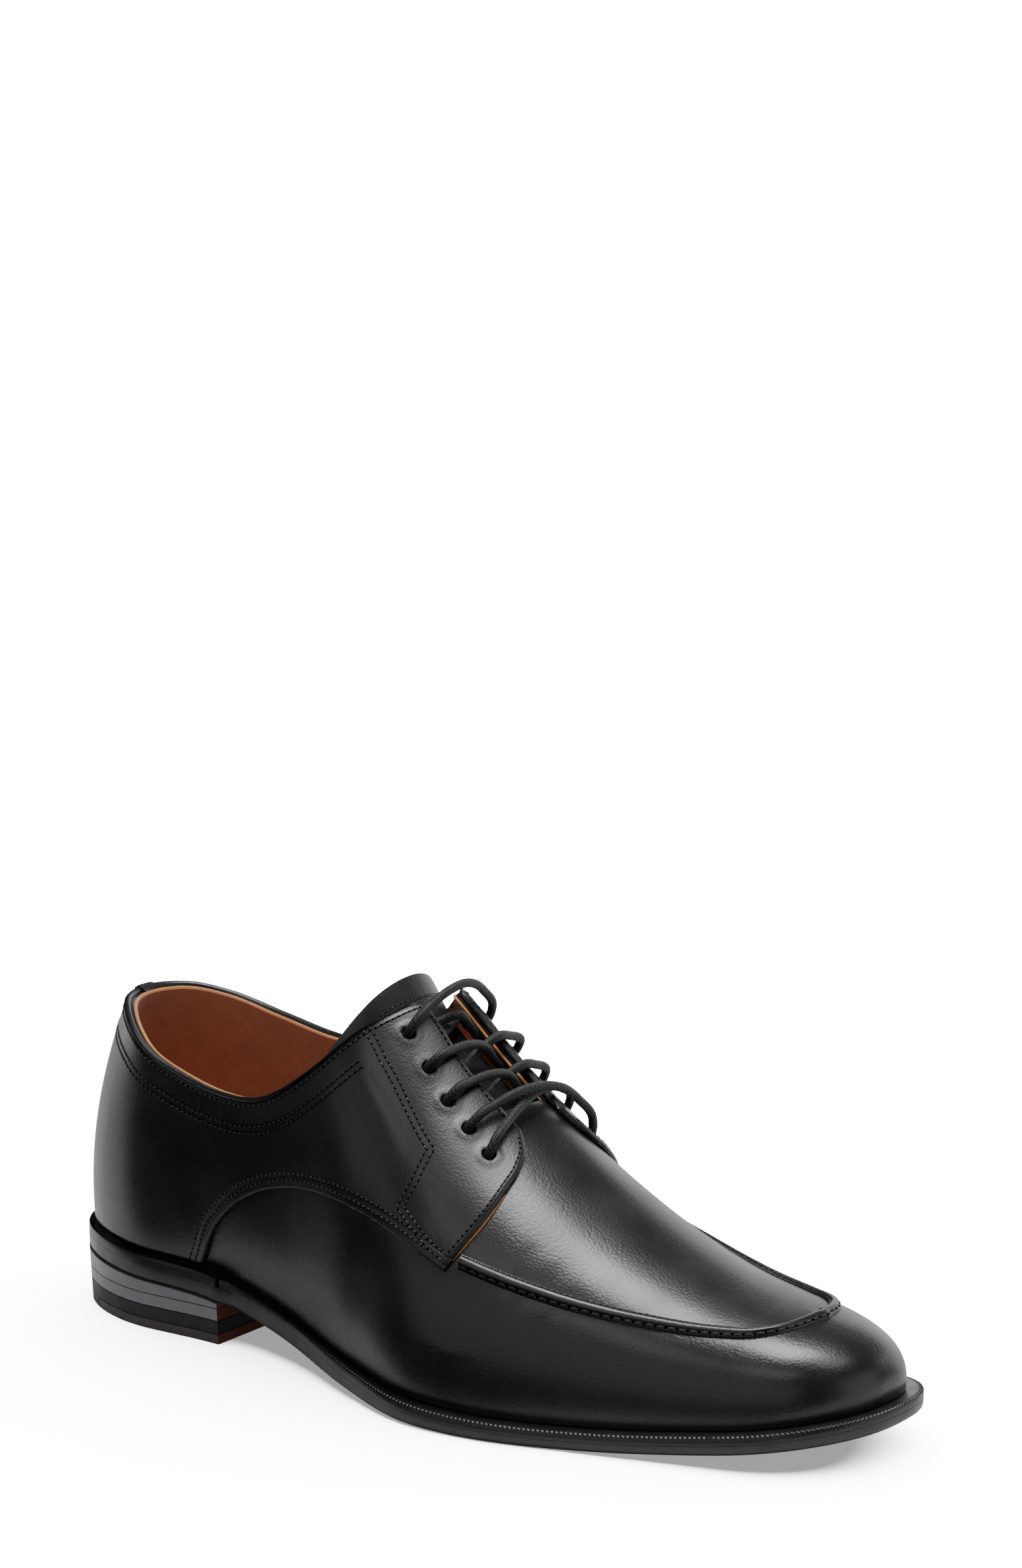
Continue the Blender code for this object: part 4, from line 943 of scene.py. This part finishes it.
def sew_down(points, outs, thick):
    """Adds a row of stitches, dropped on the quarters' outer face."""
    spots = []
    for point, out in zip(points, outs):
        out = Vector(out)
        hit = leather_tree.ray_cast(HEEL_BACK + Vector(point) + out * CAST, -out)[0]
        spots.append(np.array(hit - HEEL_BACK + out * STITCH_LIFT) if hit else point)
    seam_rows.append((np.array(spots), outs, PITCH, thick))


def sew(edge, inside, distance, thick):
    """A row in millimetres from an edge of the quarters; edge and inside index their grid."""
    points = base[edge]
    inward = unit(square_to(base[inside] - points, unit(np.gradient(points, axis=0))))
    sew_down(points + inward * distance / 1000, outward[edge], thick)


for distance in ARC_ROWS:
    for arc in (slice(5, outer_arc - 2), slice(inner_arc + 2, -5)):
        sew((arc, 0), (arc, 14), distance, THREAD)
for end, inside in ((0, 14), (-1, -15)):
    sew((end, slice(9, -6)), (inside, slice(9, -6)), EDGE_ROW, THREAD * 1.2)
sew((slice(6, -6), -1), (slice(6, -6), -16), EDGE_ROW, THREAD * 1.2)
for distance in BAND_ROWS:
    sew((band, -1), (band, -20), distance, THREAD)
for line, outs in facing_lines:
    sideways = np.cross(outs, unit(np.gradient(line, axis=0)))
    for shift in (-LINE_ROW, LINE_ROW):
        sew_down(line + sideways * shift / 1000, outs, THREAD * 1.1)
stitches("quarter_stitches", seam_rows)

# Apron seam
# Where the plug is joined to the vamp, the two edges are rolled over a cord and stitched through:
# a fine row inside and a coarse one sunk in a groove outside.
APRON_BEAD = 0.0050
APRON_RISE = 0.0014
ROLL_EDGE = 0.04                # height of the roll where it meets the leather, share of its whole
APRON = Table("turn lateral medial",
              (0.540, 0.498, 0.550), (0.620, 0.518, 0.575), (0.680, 0.541, 0.610),
              (0.735, 0.583, 0.650), (0.780, 0.628, 0.668), (0.805, 0.670, 0.690),
              (0.830, 0.722, 0.727), (0.860, 0.782, 0.784), (0.900, 0.843, 0.843),
              (0.945, 0.886, 0.886), (1.000, 0.905, 0.905))
# Stitched rows: place across the roll, depth and width of the groove as shares, pitch and thread
ROLL_ROWS = ((0.70, 0.14, 0.10, 0.0021, 0.0005), (-0.55, 0.26, 0.13, 0.0034, 0.0009))


def roll_ups(side, turn):
    """Ups across the roll, from its lower edge to its upper."""
    middle = APRON.at(turn, HALF[side])
    return middle + across * APRON_BEAD / 2 / (4 * np.linalg.norm(rise_direction(side, turn, middle)))


def seam_start(side):
    """Turn at which the seam comes out from under the quarters' front edge."""
    turns, ups = zip(*(quarter_place(side, front, along) for along in np.linspace(0, 1, 200).tolist()))
    turn = float(np.interp(roll_ups(side, front)[-1], ups, turns))
    return turn + turn_at(2 * SKIN_GAP / SOLE_LENGTH) - turn_at(0.0)


across = np.linspace(-1, 1, 21)
dome = ROLL_EDGE + (1 - ROLL_EDGE) * np.maximum(np.cos(across * np.pi / 2), 0.0) ** 0.7
for place, deep, wide, _, _ in ROLL_ROWS:
    dome -= deep * np.exp(-((across - place) / wide) ** 2)
halves = [joined((seam_start(side), TOE_TURN, 160), (TOE_TURN, 1, 90)) for side in SIDES]
outer, inner, sides = [], [], []
for side, turn in round_toe(*halves):
    ups = roll_ups(side, turn)
    outer.append(lifted(side, turn, ups, (SKIN_GAP + APRON_RISE) * dome))
    inner.append(lifted(side, turn, ups, 0.0))
    sides.append(normal(side, turn, ups))
# The roll is polished by the last: the same calf with its grain pressed flat
roll_calf = calf("pressed_black_calf", "#18181b", "#1e1d20", 0.34, 0.0006, 0.00004)
solid("apron_seam", *shell(outer, inner), roll_calf, "apron_seam", "calf", 80)
outer, sides = np.array(outer), np.array(sides)
rows = []
for place, _, _, pitch, thick in ROLL_ROWS:
    k = int(np.argmin(abs(across - place)))
    rows.append((outer[:, k] + sides[:, k] * STITCH_LIFT, sides[:, k], pitch, thick))
stitches("apron_stitches", rows)

# Cut edges
# The quarters are lined in tan hide, and its cut edge shows as a fine line under their front edge.
LINING_EDGE = 0.00045           # half thickness of that line


def hide(name, light, dark, roughness, nap):
    made, tree = finish_of(name)
    place = add(tree, "TexCoord").outputs["Object"]
    clouds = add(tree, "TexNoise", {"Vector": place, "Scale": 70.0, "Detail": 6.0, "Roughness": 0.65})
    fibres = noise(tree, 2600.0, 3.0, place)
    close(tree, add(tree, "BsdfPrincipled", {"Base Color": blend(tree, clouds.outputs["Fac"], dark, light),
                                             "Roughness": roughness, "Sheen Weight": 0.2,
                                             "Normal": bumped(tree, fibres, nap, 0.7)}))
    return made


def tube(loops):
    """Points and faces of a closed skin through loops of points, with its ends capped."""
    count = len(loops[0])
    ends = (len(loops) - 1) * count
    faces = [(i + n, i + (n + 1) % count, i + (n + 1) % count + count, i + n + count)
             for i in range(0, ends, count) for n in range(count)]
    faces += [tuple(range(count)), tuple(range(ends, ends + count))]
    return np.reshape(loops, (-1, 3)), faces


def ringed(middles, across, rise, half_across, half_up, sides=10):
    """A rounded strip along the middles; half sizes may change along it."""
    angles = 2 * np.pi * np.arange(sides) / sides
    return tube(middles[:, None] + across[:, None] * (np.cos(angles) * half_across[:, None])[..., None]
                + rise[:, None] * (np.sin(angles) * half_up[:, None])[..., None])


# The bright cut edge of the lining hide
cut_edge = hide("tan_cut_edge", "#e39a5a", "#c67a3c", 0.7, 0.0001)
shown = slice(10, 44)           # rows of the front edge between the welt and the lowest lace hole
for name, end in (("outer_front_cut_edge", 0), ("inner_front_cut_edge", -1)):
    outs = outward[end, shown]
    line = base[end, shown] + outs * (SKIN_GAP - STITCH_LIFT)
    forward = np.cross(unit(np.gradient(line, axis=0)), outs)
    thick = LINING_EDGE * np.sin(np.linspace(0.15, np.pi - 0.15, len(line))) ** 0.3
    solid(name, *ringed(line, outs, forward, thick, thick), cut_edge, None, "insole")

# Back strip
# A narrow strip of calf covers the closed seam at the heel back and folds over the collar.
BACK_STRIP = 0.014
BACK_STRIP_DROP = 0.022
BACK_STRIP_THICKNESS = 0.0009
SKIVED = 0.3                    # share of the thickness left at its edges
SKIVE_SLOPE = 20
lift = QUARTER_THICKNESS + SKIN_GAP + GAP
tries = np.linspace(0, HEEL_TURN, 400).tolist()
strip_turn = float(np.interp(BACK_STRIP / 2, [plan(1, t)[1] for t in tries], tries))
outer, inner = [], []
for side, turn in round_heel(np.linspace(0, strip_turn, 14).tolist()):
    low = up_at_height(side, turn, COLLAR_HEIGHT - BACK_STRIP_DROP)
    ups = np.linspace(low, rim(side, turn), 30)
    thinned = np.clip(SKIVED + SKIVE_SLOPE * np.minimum(ups - low, strip_turn - turn), SKIVED, 1)
    outer.append(lifted(side, turn, ups, lift + BACK_STRIP_THICKNESS * thinned))
    inner.append(lifted(side, turn, ups, lift))
solid("back_strip", *shell(outer, inner), quarter_calf, "back_strip", "calf")

# Collar and lining
# The collar edge is a folded strip of calf over a soft cord. Behind it the lining's cut edge shows
# tan, and inside the heel the lining is brown suede.
BINDING = 0.0012                # half thickness of the folded edge
LINING = 0.0003
LINING_GAP = 0.0001
TAPER_END, TAPER_STEP = 0.35, 0.1       # size of a thinned end, and its gain from point to point
COLLAR_END = 0.425              # share of the length where the folded edge runs out
LINING_FOOT = 0.0042            # lower edge of the lining above the welt
LINING_SEAM = 0.35              # share of the length where the suede meets the smooth hide
SEAM_SPREAD = 0.007             # between the seam's two rows, in turns

# Mottled brown suede
suede = hide("brown_lining_suede", "#cf8a66", "#9a5f45", 0.85, 0.0002)
# The front lining is the same hide with its smooth side out, lighter and even
smooth_lining = hide("smooth_tan_lining", "#d69a74", "#bd8058", 0.55, 0.00005)


def rim_strip(name, path, lift_mid, half_across, half_up, finish, slot, taper=False):
    """A rounded edge that follows the rim; taper thins it out at both ends."""
    spots = [(side, turn, rim(side, turn)) for side, turn in path]
    middles = np.array([lifted(*spot, lift_mid) for spot in spots])
    outs = np.array([normal(*spot) for spot in spots])
    rise = unit(np.array([rise_direction(*spot) for spot in spots]))
    from_end = np.minimum(np.arange(len(path)), np.arange(len(path))[::-1])
    share = np.minimum(1.0, TAPER_END + TAPER_STEP * from_end) if taper else np.ones(len(path))
    solid(name, *ringed(middles, outs, rise, half_across * share, half_up * share), finish, None, slot)


collar_end, tan_end, seam_turn = turn_at(COLLAR_END), turn_at(THROAT_END - 0.004), turn_at(LINING_SEAM)


def rim_path(end, count):
    return round_heel(joined((0, HEEL_TURN, 40), (HEEL_TURN, end, count)))


rim_strip("collar_binding", rim_path(collar_end, 90), (QUARTER_THICKNESS + SKIN_GAP) / 2 + 0.00025,
          BINDING, 0.0009, roll_calf, "calf", True)
rim_strip("lining_edge", rim_path(tan_end, 130), -WALL + 0.0004, 0.0005, 0.0005, cut_edge, "insole", True)
rim_strip("back_strip_fold", round_heel(np.linspace(0, strip_turn * 0.8, 8).tolist()),
          0.0008, 0.0024, 0.0013, roll_calf, "calf")
lining_face = -WALL - LINING_GAP


def line_with(name, path, finish):
    outer, inner = [], []
    for side, turn in path:
        ups = np.linspace(up_at_height(side, turn, LINING_FOOT), rim(side, turn), 40)
        outer.append(lifted(side, turn, ups, lining_face))
        inner.append(lifted(side, turn, ups, lining_face - LINING))
    punch_holes(solid(name, *shell(outer, inner), finish, None, "insole"))


line_with("heel_lining", rim_path(seam_turn, 80), suede)
seam_rows = []
for side, name in zip(SIDES, ("outer_front_lining", "inner_front_lining")):
    line_with(name, [(side, t) for t in np.linspace(seam_turn, collar_end, 30).tolist()], smooth_lining)
    for turn in (seam_turn, seam_turn + SEAM_SPREAD):
        ups = np.linspace(0.2, rim(side, turn) - 0.02, 60)
        spots = lifted(side, turn, ups, lining_face - LINING)
        seam_rows.append((spots, -normal(side, turn, ups), PITCH, THREAD))
# Tan thread of the lining seam
tan_thread = hide("tan_waxed_thread", "#d9914f", "#b87236", 0.5, 0.00005)
stitches("lining_stitches", seam_rows, tan_thread)

# Insole
# A tan leather sock covers the insole board inside the shoe.
INSOLE_RISE = 0.002
EDGE_ROUND = 0.0007
SEAT_STEP = 0.0016
BREAST = 0.0725
SEAT_RUN = 0.0048
half_round = joined((0, HEEL_TURN, 40), (HEEL_TURN, TOE_TURN, 110), (TOE_TURN, 1, 50))


def slab(levels):
    """A solid layer; each level is a pair of lateral and medial edge lines from back to front."""
    lines = np.array(levels)
    count = lines.shape[2]
    index = np.arange(lines[..., 0].size).reshape(lines.shape[:3]).tolist()
    faces = []
    for level in (index[0], index[-1]):
        for k in range(count - 1):
            faces.append((level[0][k], level[0][k + 1], level[1][k + 1], level[1][k]))
    for low, high in zip(index, index[1:]):
        for side in (0, 1):
            for k in range(count - 1):
                faces.append((low[side][k], low[side][k + 1], high[side][k + 1], high[side][k]))
        for k in (0, count - 1):
            faces.append((low[0][k], high[0][k], high[1][k], low[1][k]))
    return lines.reshape(-1, 3), faces


def level_of(edge, height, lift):
    """Both edge lines of a level; edge gives a point for a side and a turn, height its height."""
    lines = [[edge(side, turn) for turn in half_round] for side in SIDES]
    return [[(spot[0], spot[1], height(share_of(spot)) + lift) for spot in line] for line in lines]


def sock_edge(side, turn, inset=0.0):
    return plan_inset(side, turn, LEDGE.at(share_of(plan(side, turn)), "inset") + WALL + 2 * GAP + inset)


# Smooth tan sock leather
sock = hide("tan_sock_leather", "#b9713c", "#a05a2a", 0.55, 0.00005)
solid("insole", *slab([level_of(sock_edge, outsole_top, GAP),
                       level_of(sock_edge, welt_top, INSOLE_RISE - EDGE_ROUND),
                       level_of(functools.partial(sock_edge, inset=EDGE_ROUND), welt_top, INSOLE_RISE)]),
      sock, "insole", "insole")

# Tongue
# A flap of the same calf, sewn in under the vamp, its long edge left raw.
TONGUE_THICKNESS = 0.002
TONGUE = Table("along reach depth",
               (0.00, 0.027, 0.0), (0.16, 0.031, 1.0), (0.50, 0.034, 1.0), (0.80, 0.036, 1.0),
               (1.00, 0.038, 0.1))
TONGUE_FRONT = 0.592
TONGUE_TOP = 0.402
TONGUE_FALL = 0.045             # how far its top edge falls back at either side
TONGUE_ROW = 8.5                # stitch row from the top edge, millimetres
LACE = 0.003
LACE_TURN = 0.0014
LACE_GAP = 0.0006
UNDER = WALL + LACE_GAP + LACE / 2
OVER = SKIN_GAP + QUARTER_THICKNESS + LACE_GAP + LACE / 2
TONGUE_LINES = 60
TOP_SPAN = 14.0                 # reach of the stored distance from the top edge, millimetres
SEWN_LINE = 53                  # the line that carries the stitches


def tongue_line(place, lift, count):
    """One line of the tongue from under the vamp to its top edge; place runs -1 to 1 across."""
    side = -1 if place < 0 else 1
    points, outs = [], []
    for along in np.linspace(0, 1, count).tolist():
        top = TONGUE_TOP - TONGUE_FALL * place ** 2
        turn = turn_at(TONGUE_FRONT + (top - TONGUE_FRONT) * along)
        up = 1 - (1 - up_at_reach(side, turn, TONGUE.at(along, "reach"))) * abs(place)
        deep = UNDER + LACE_TURN + LACE / 2 + GAP
        depth = WALL + SKIN_GAP + (deep - WALL - SKIN_GAP) * TONGUE.at(along, "depth")
        points.append(lifted(side, turn, up, lift - depth))
        outs.append(normal(side, turn, up))
    return points, outs


places = np.linspace(-1, 1, 61).tolist()
tongue_top = [tongue_line(p, 0.0, TONGUE_LINES) for p in places]
outer = np.array([points for points, _ in tongue_top])
inner = [tongue_line(p, -TONGUE_THICKNESS, TONGUE_LINES)[0] for p in places]
# Softer calf of the tongue, dull from handling, with one sunk row along its top
tongue_calf = calf("soft_black_calf", "#1c1b1e", "#242327", 0.38, 0.00065, 0.00007, (
    ("top_mm", TOP_SPAN, ROW_DEPTH, (TONGUE_ROW,)),))
tongue = solid("tongue", *shell(outer, inner), tongue_calf, "tongue", "calf")
mark(tongue, "top_mm", [outer[:, -1]], TOP_SPAN)
outs = np.array([outs[SEWN_LINE] for _, outs in tongue_top])
stitches("tongue_stitches", [(outer[4:-4, SEWN_LINE], outs[4:-4], PITCH, THREAD * 0.84)])

# Lace
# One round waxed cotton lace, braided, through all ten holes and over the tongue.
CROSS_ARCH = 0.3
BAR_ARCH = 1.6
HOLE_SHARE = 0.06


def run_between(side, first, last, heights):
    """Lace between two holes; heights holds rows of share of the way and height off the vamp."""
    low, high = np.array(eyelet_place(side, first)), np.array(eyelet_place(-side, last))
    return [over_throat(*(low + (high - low) * share).tolist(), height) for share, height in heights]


def arched(side, first, last, height, bend, arch, power):
    """Lace at a height off the vamp, bent towards both holes and arched between them."""
    rows = []
    for share in np.linspace(HOLE_SHARE, 1 - HOLE_SHARE, 7).tolist():
        near_hole = 1 - 2 * min(share, 1 - share)
        rows.append((share, height + bend * near_hole + arch * math.sin(math.pi * share) ** power))
    return run_between(side, first, last, rows)


def over_span(side, first, last, arch):
    return arched(side, first, last, OVER, LACE_TURN, arch, 2)


def under_span(side, first, last, middle):
    return arched(side, first, last, -UNDER, -LACE_TURN / 2, middle + UNDER, 10)


def dive_span(side, first, last, middle):
    return run_between(side, first, last, ((HOLE_SHARE, OVER + LACE_TURN), (0.20, OVER), (0.34, OVER * 0.8),
                                           (0.50, middle), (0.70, -UNDER), (0.82, -UNDER),
                                           (1 - HOLE_SHARE, -UNDER - LACE_TURN / 2)))


def through(side, number, upwards):
    heights = (-WALL - LACE_TURN / 2, OVER - LACE / 2)
    return [over_throat(*eyelet_place(side, number), h) for h in (heights if upwards else reversed(heights))]


def lace_route():
    """From the lowest near hole up to the top bar and down to the lowest far hole."""
    near, far = SIDES
    clear = (LACE + GAP) / 2
    low_end = -WALL - LACE / 2
    arch = LACE * CROSS_ARCH
    route = [over_throat(*eyelet_place(near, 1), low_end)] + through(near, 1, True)[1:]
    route += over_span(near, 1, 2, arch) + through(far, 2, False)
    route += dive_span(near, 3, 2, clear)[::-1] + through(near, 3, False)
    route += dive_span(far, 4, 3, -clear)[::-1] + through(far, 4, False)
    route += under_span(far, 4, 5, clear) + through(near, 5, True)
    route += over_span(near, 5, 5, LACE * BAR_ARCH) + through(far, 5, False)
    route += under_span(far, 5, 4, -UNDER) + through(near, 4, True)
    route += dive_span(near, 4, 3, clear) + through(far, 3, True)
    route += dive_span(far, 3, 2, -clear) + through(near, 2, True)
    route += over_span(near, 2, 1, arch + 2 * clear + GAP) + through(far, 1, False)[:1]
    return np.array(route + [over_throat(*eyelet_place(far, 1), low_end)])


def smooth_route(points, pieces):
    """A smooth line through the points, with a number of pieces between neighbours."""
    gaps = np.linalg.norm(np.diff(points, axis=0), axis=1)
    chords = np.diff(points, axis=0) / gaps[:, None]
    slopes = [chords[0]]
    for k in range(1, len(points) - 1):
        slopes.append((chords[k - 1] * gaps[k] + chords[k] * gaps[k - 1]) / (gaps[k] + gaps[k - 1]))
    slopes.append(chords[-1])
    line = []
    for k, gap in enumerate(gaps):
        line += [eased(t, points[k], points[k + 1], slopes[k] * gap, slopes[k + 1] * gap)
                 for t in np.arange(pieces) / pieces]
    return np.array(line + [points[-1]])


line = smooth_route(lace_route(), 7)
ahead = unit(np.gradient(line, axis=0))
sideways = np.array([1.0, 0.0, 0.0])
carried = []
for along in ahead:
    sideways = unit(square_to(sideways, along))
    carried.append(sideways)
carried = np.array(carried)
thick = np.full(len(line), LACE / 2)
# Braided cotton under wax: crossing strands with small glints and a soft nap
cotton, tree = finish_of("waxed_black_cotton")
place = add(tree, "TexCoord").outputs["Object"]
turned = add(tree, "Mapping", {"Vector": place, "Rotation": (0.0, 0.0, math.radians(80))}).outputs[0]
braid = None
for strands in (place, turned):
    waves = add(tree, "TexWave", {"Vector": strands, "Scale": 480.0, "Distortion": 0.6},
                bands_direction='DIAGONAL')
    braid = bumped(tree, waves.outputs["Fac"], 0.00012, 0.8, braid)
fuzz = noise(tree, 2400.0, 4.0, place)
close(tree, add(tree, "BsdfPrincipled", {"Base Color": blend(tree, fuzz, "#101012", "#1c1b1e"),
                                         "Normal": bumped(tree, fuzz, 0.0001, 0.6, braid),
                                         "Roughness": 0.55, "Sheen Weight": 0.08}))
solid("lace", *ringed(line, carried, np.cross(ahead, carried), thick, thick, 16), cotton, "lace", "lace", 80)

# Outsole, welt and seat strip
# Leather sole with its edge trimmed, inked and burnished with hot wax. A wheel has pressed small
# beads into the welt's top edge, which fade towards the heel.
WELT_START = 0.0011
RAND_BACK = 0.0004
WHEEL_PITCH = 0.0015
WHEEL_DEPTH = 0.00034
JOINT = 0.0001                  # fine line between the welt and the outsole
WHEEL_FADE = (0.25, 0.45)       # shares of the length over which the beads grow


def sole_edge(side, turn, inset=0.0):
    """Edge of the outsole, with the wider seat over the heel."""
    beyond = (plan(side, turn)[0] - BREAST) / SEAT_RUN
    return plan_inset(side, turn, inset - SEAT_STEP * min(max(1 - beyond, 0.0), 1.0))


def inked(name, tone, worn, roughness, coat, scrape, breast=None):
    """Inked leather or rubber; breast is the colour of its front face, where that was left brown."""
    made, tree = finish_of(name)
    place = add(tree, "TexCoord").outputs["Object"]
    layers = add(tree, "Mapping", {"Vector": place, "Scale": (1.5, 1.5, 300.0)}).outputs[0]
    fibres = noise(tree, 3.0, 5.0, layers)
    marks = noise(tree, 160.0, 4.0, place)
    shade = blend(tree, fibres, tone, worn)
    if breast:
        facing = add(tree, "NewGeometry").outputs["Normal"]
        facing = add(tree, "SeparateXYZ", {"Vector": facing}).outputs["X"]
        front_face = add(tree, "MapRange", {"Value": facing, "From Min": 0.8, "From Max": 0.95}).outputs[0]
        shade = blend(tree, front_face, shade, breast)
    gloss = add(tree, "MapRange", {"Value": marks, "From Min": 0.3, "From Max": 0.7,
                                   "To Min": roughness - 0.06, "To Max": roughness + 0.1})
    skin = bumped(tree, marks, scrape, 0.5, bumped(tree, fibres, scrape, 0.6))
    close(tree, add(tree, "BsdfPrincipled", {"Base Color": shade, "Roughness": gloss.outputs[0],
                                             "Normal": skin, "Coat Weight": coat, "Coat Roughness": 0.15}))
    return made


# Burnished black edge: smooth wax with a soft line of light
edge_wax = inked("burnished_black_edge", "#161618", "#1a1a1d", 0.36, 0.15, 0.000006)

# Levels of the outsole from the floor up: inset and lift as shares of the edge's rounding
SOLE_PROFILE = ((2.0, sole_underside, 0.0), (1.1, sole_underside, 0.5), (0.45, sole_underside, 1.2),
                (0.1, sole_underside, 2.3), (0.0, outsole_top, -0.5), (0.0, outsole_top, 0.0))
levels = [level_of(functools.partial(sole_edge, inset=inset * EDGE_ROUND), height, lift * EDGE_ROUND)
          for inset, height, lift in SOLE_PROFILE]
solid("outsole", *slab(levels), edge_wax, "outsole", "sole_edge", 60)


def strip_rings(path, wheel):
    """Rings of a strip on the outsole; the wheel presses its outer top edge."""
    loops, run, last = [], 0.0, plan(*path[0])
    for side, turn in path:
        here = plan(side, turn)
        run += float(np.linalg.norm(here - last))
        last, share = here, share_of(here)
        pressed = min(max((share - WHEEL_FADE[0]) / (WHEEL_FADE[1] - WHEEL_FADE[0]), 0.0), 1.0)
        dip = WHEEL_DEPTH * wheel * pressed * (0.5 + 0.5 * math.cos(2 * math.pi * run / WHEEL_PITCH))
        spots = [(sole_edge(side, turn, inset * EDGE_ROUND), height, lift) for inset, height, lift in (
            (0.0, outsole_top, JOINT), (0.0, outsole_top, GAP + EDGE_ROUND / 2),
            (0.0, welt_top, -EDGE_ROUND), (0.3, welt_top, -EDGE_ROUND * 0.3 - dip),
            (1.0, welt_top, -dip), (1.8, welt_top, -dip / 2), (2.6, welt_top, 0.0))]
        foot = plan_inset(side, turn, LEDGE.at(share, "inset") + WALL + GAP)
        spots += [(foot, welt_top, 0.0), (foot, outsole_top, GAP)]
        loops.append([(spot[0], spot[1], height(share_of(spot)) + lift) for spot, height, lift in spots])
    return tube(loops)


half = joined((turn_at((BREAST + WELT_START) / SOLE_LENGTH), TOE_TURN, 620), (TOE_TURN, 1, 260))
solid("welt", *strip_rings(round_toe(half, half), 1.0), edge_wax, "welt", "sole_edge", 60)
path = round_heel(joined((0, HEEL_TURN, 40), (HEEL_TURN, turn_at((BREAST - RAND_BACK) / SOLE_LENGTH), 20)))
solid("heel_seat_rand", *strip_rings(path, 0.0), edge_wax, "heel_seat_rand", "sole_edge")

# Heel
# Stacked leather lifts, inked and scraped level, over a rubber top piece. The rubber reaches the
# floor only at the back; leather fills in front of it.
LIFT = 0.0039
HEEL_RUBBER = 0.0043
HEEL_TIP = 0.0032
RUBBER_CORNER = 0.0165
HEEL_TAPER = 0.0010
top_piece = HEEL_TIP + GAP + HEEL_RUBBER
lift_top = top_piece + GAP + LIFT
heel_turns = joined((0, HEEL_TURN, 48), (HEEL_TURN, turn_at(BREAST / SOLE_LENGTH), 14))


def heel_level(height, first=None, last=None):
    """Edge lines of the heel between two x, at a height or at one given by x."""
    height_at = height if callable(height) else lambda x: height
    level = []
    for side in SIDES:
        line = []
        for turn in heel_turns:
            down = 1 - height_at(plan(side, turn)[0]) / HEEL_HEIGHT
            spot = plan_inset(side, turn, HEEL_TAPER * down - SEAT_STEP)
            line.append([spot[0], spot[1]])
        line = np.array(line)
        for limit, keep in ((first, np.maximum), (last, np.minimum)):
            if limit is not None:
                y = np.interp(limit, line[:, 0], line[:, 1])
                outside = keep(line[:, 0], limit) != line[:, 0]
                line[outside] = (limit, y)
        level.append([(x, y, height_at(x)) for x, y in line])
    return level


def seat(x):
    return sole_underside(max(x, 0.0) / SOLE_LENGTH) - GAP


# Satin inked stack, its colour lightened to a mid grey as painted sheen for its grey reflection; black
# rubber and the greyer leather in front of it
stack = inked("inked_heel_stack_painted_sheen", "#77767b", "#828186", 0.40, 0.15, 0.000012, "#702e18")
rubber = inked("black_heel_rubber", "#19191a", "#1f1f20", 0.55, 0.0, 0.00005)
tip = inked("grey_heel_tip", "#433e3f", "#4c4748", 0.5, 0.05, 0.00006, "#6a2a16")
for name, low, high, first, finish, slot in (
        ("heel_lift_upper", lift_top + GAP, seat, None, stack, "heel_stack"),
        ("heel_lift_lower", top_piece + GAP, lift_top, None, stack, "heel_stack"),
        ("heel_tip_leather", 0.0, HEEL_TIP, RUBBER_CORNER, tip, "heel_tip")):
    solid(name, *slab([heel_level(low, first), heel_level(high, first)]), finish, name, slot)
band, band_faces = slab([heel_level(HEEL_TIP + GAP), heel_level(top_piece)])
corner, corner_faces = slab([heel_level(height, None, RUBBER_CORNER - GAP)
                             for height in (0.0, HEEL_TIP + GAP)])
faces = band_faces + [tuple(len(band) + n for n in face) for face in corner_faces]
solid("heel_rubber", np.concatenate([band, corner]), faces, rubber, "heel_rubber", "heel_rubber")
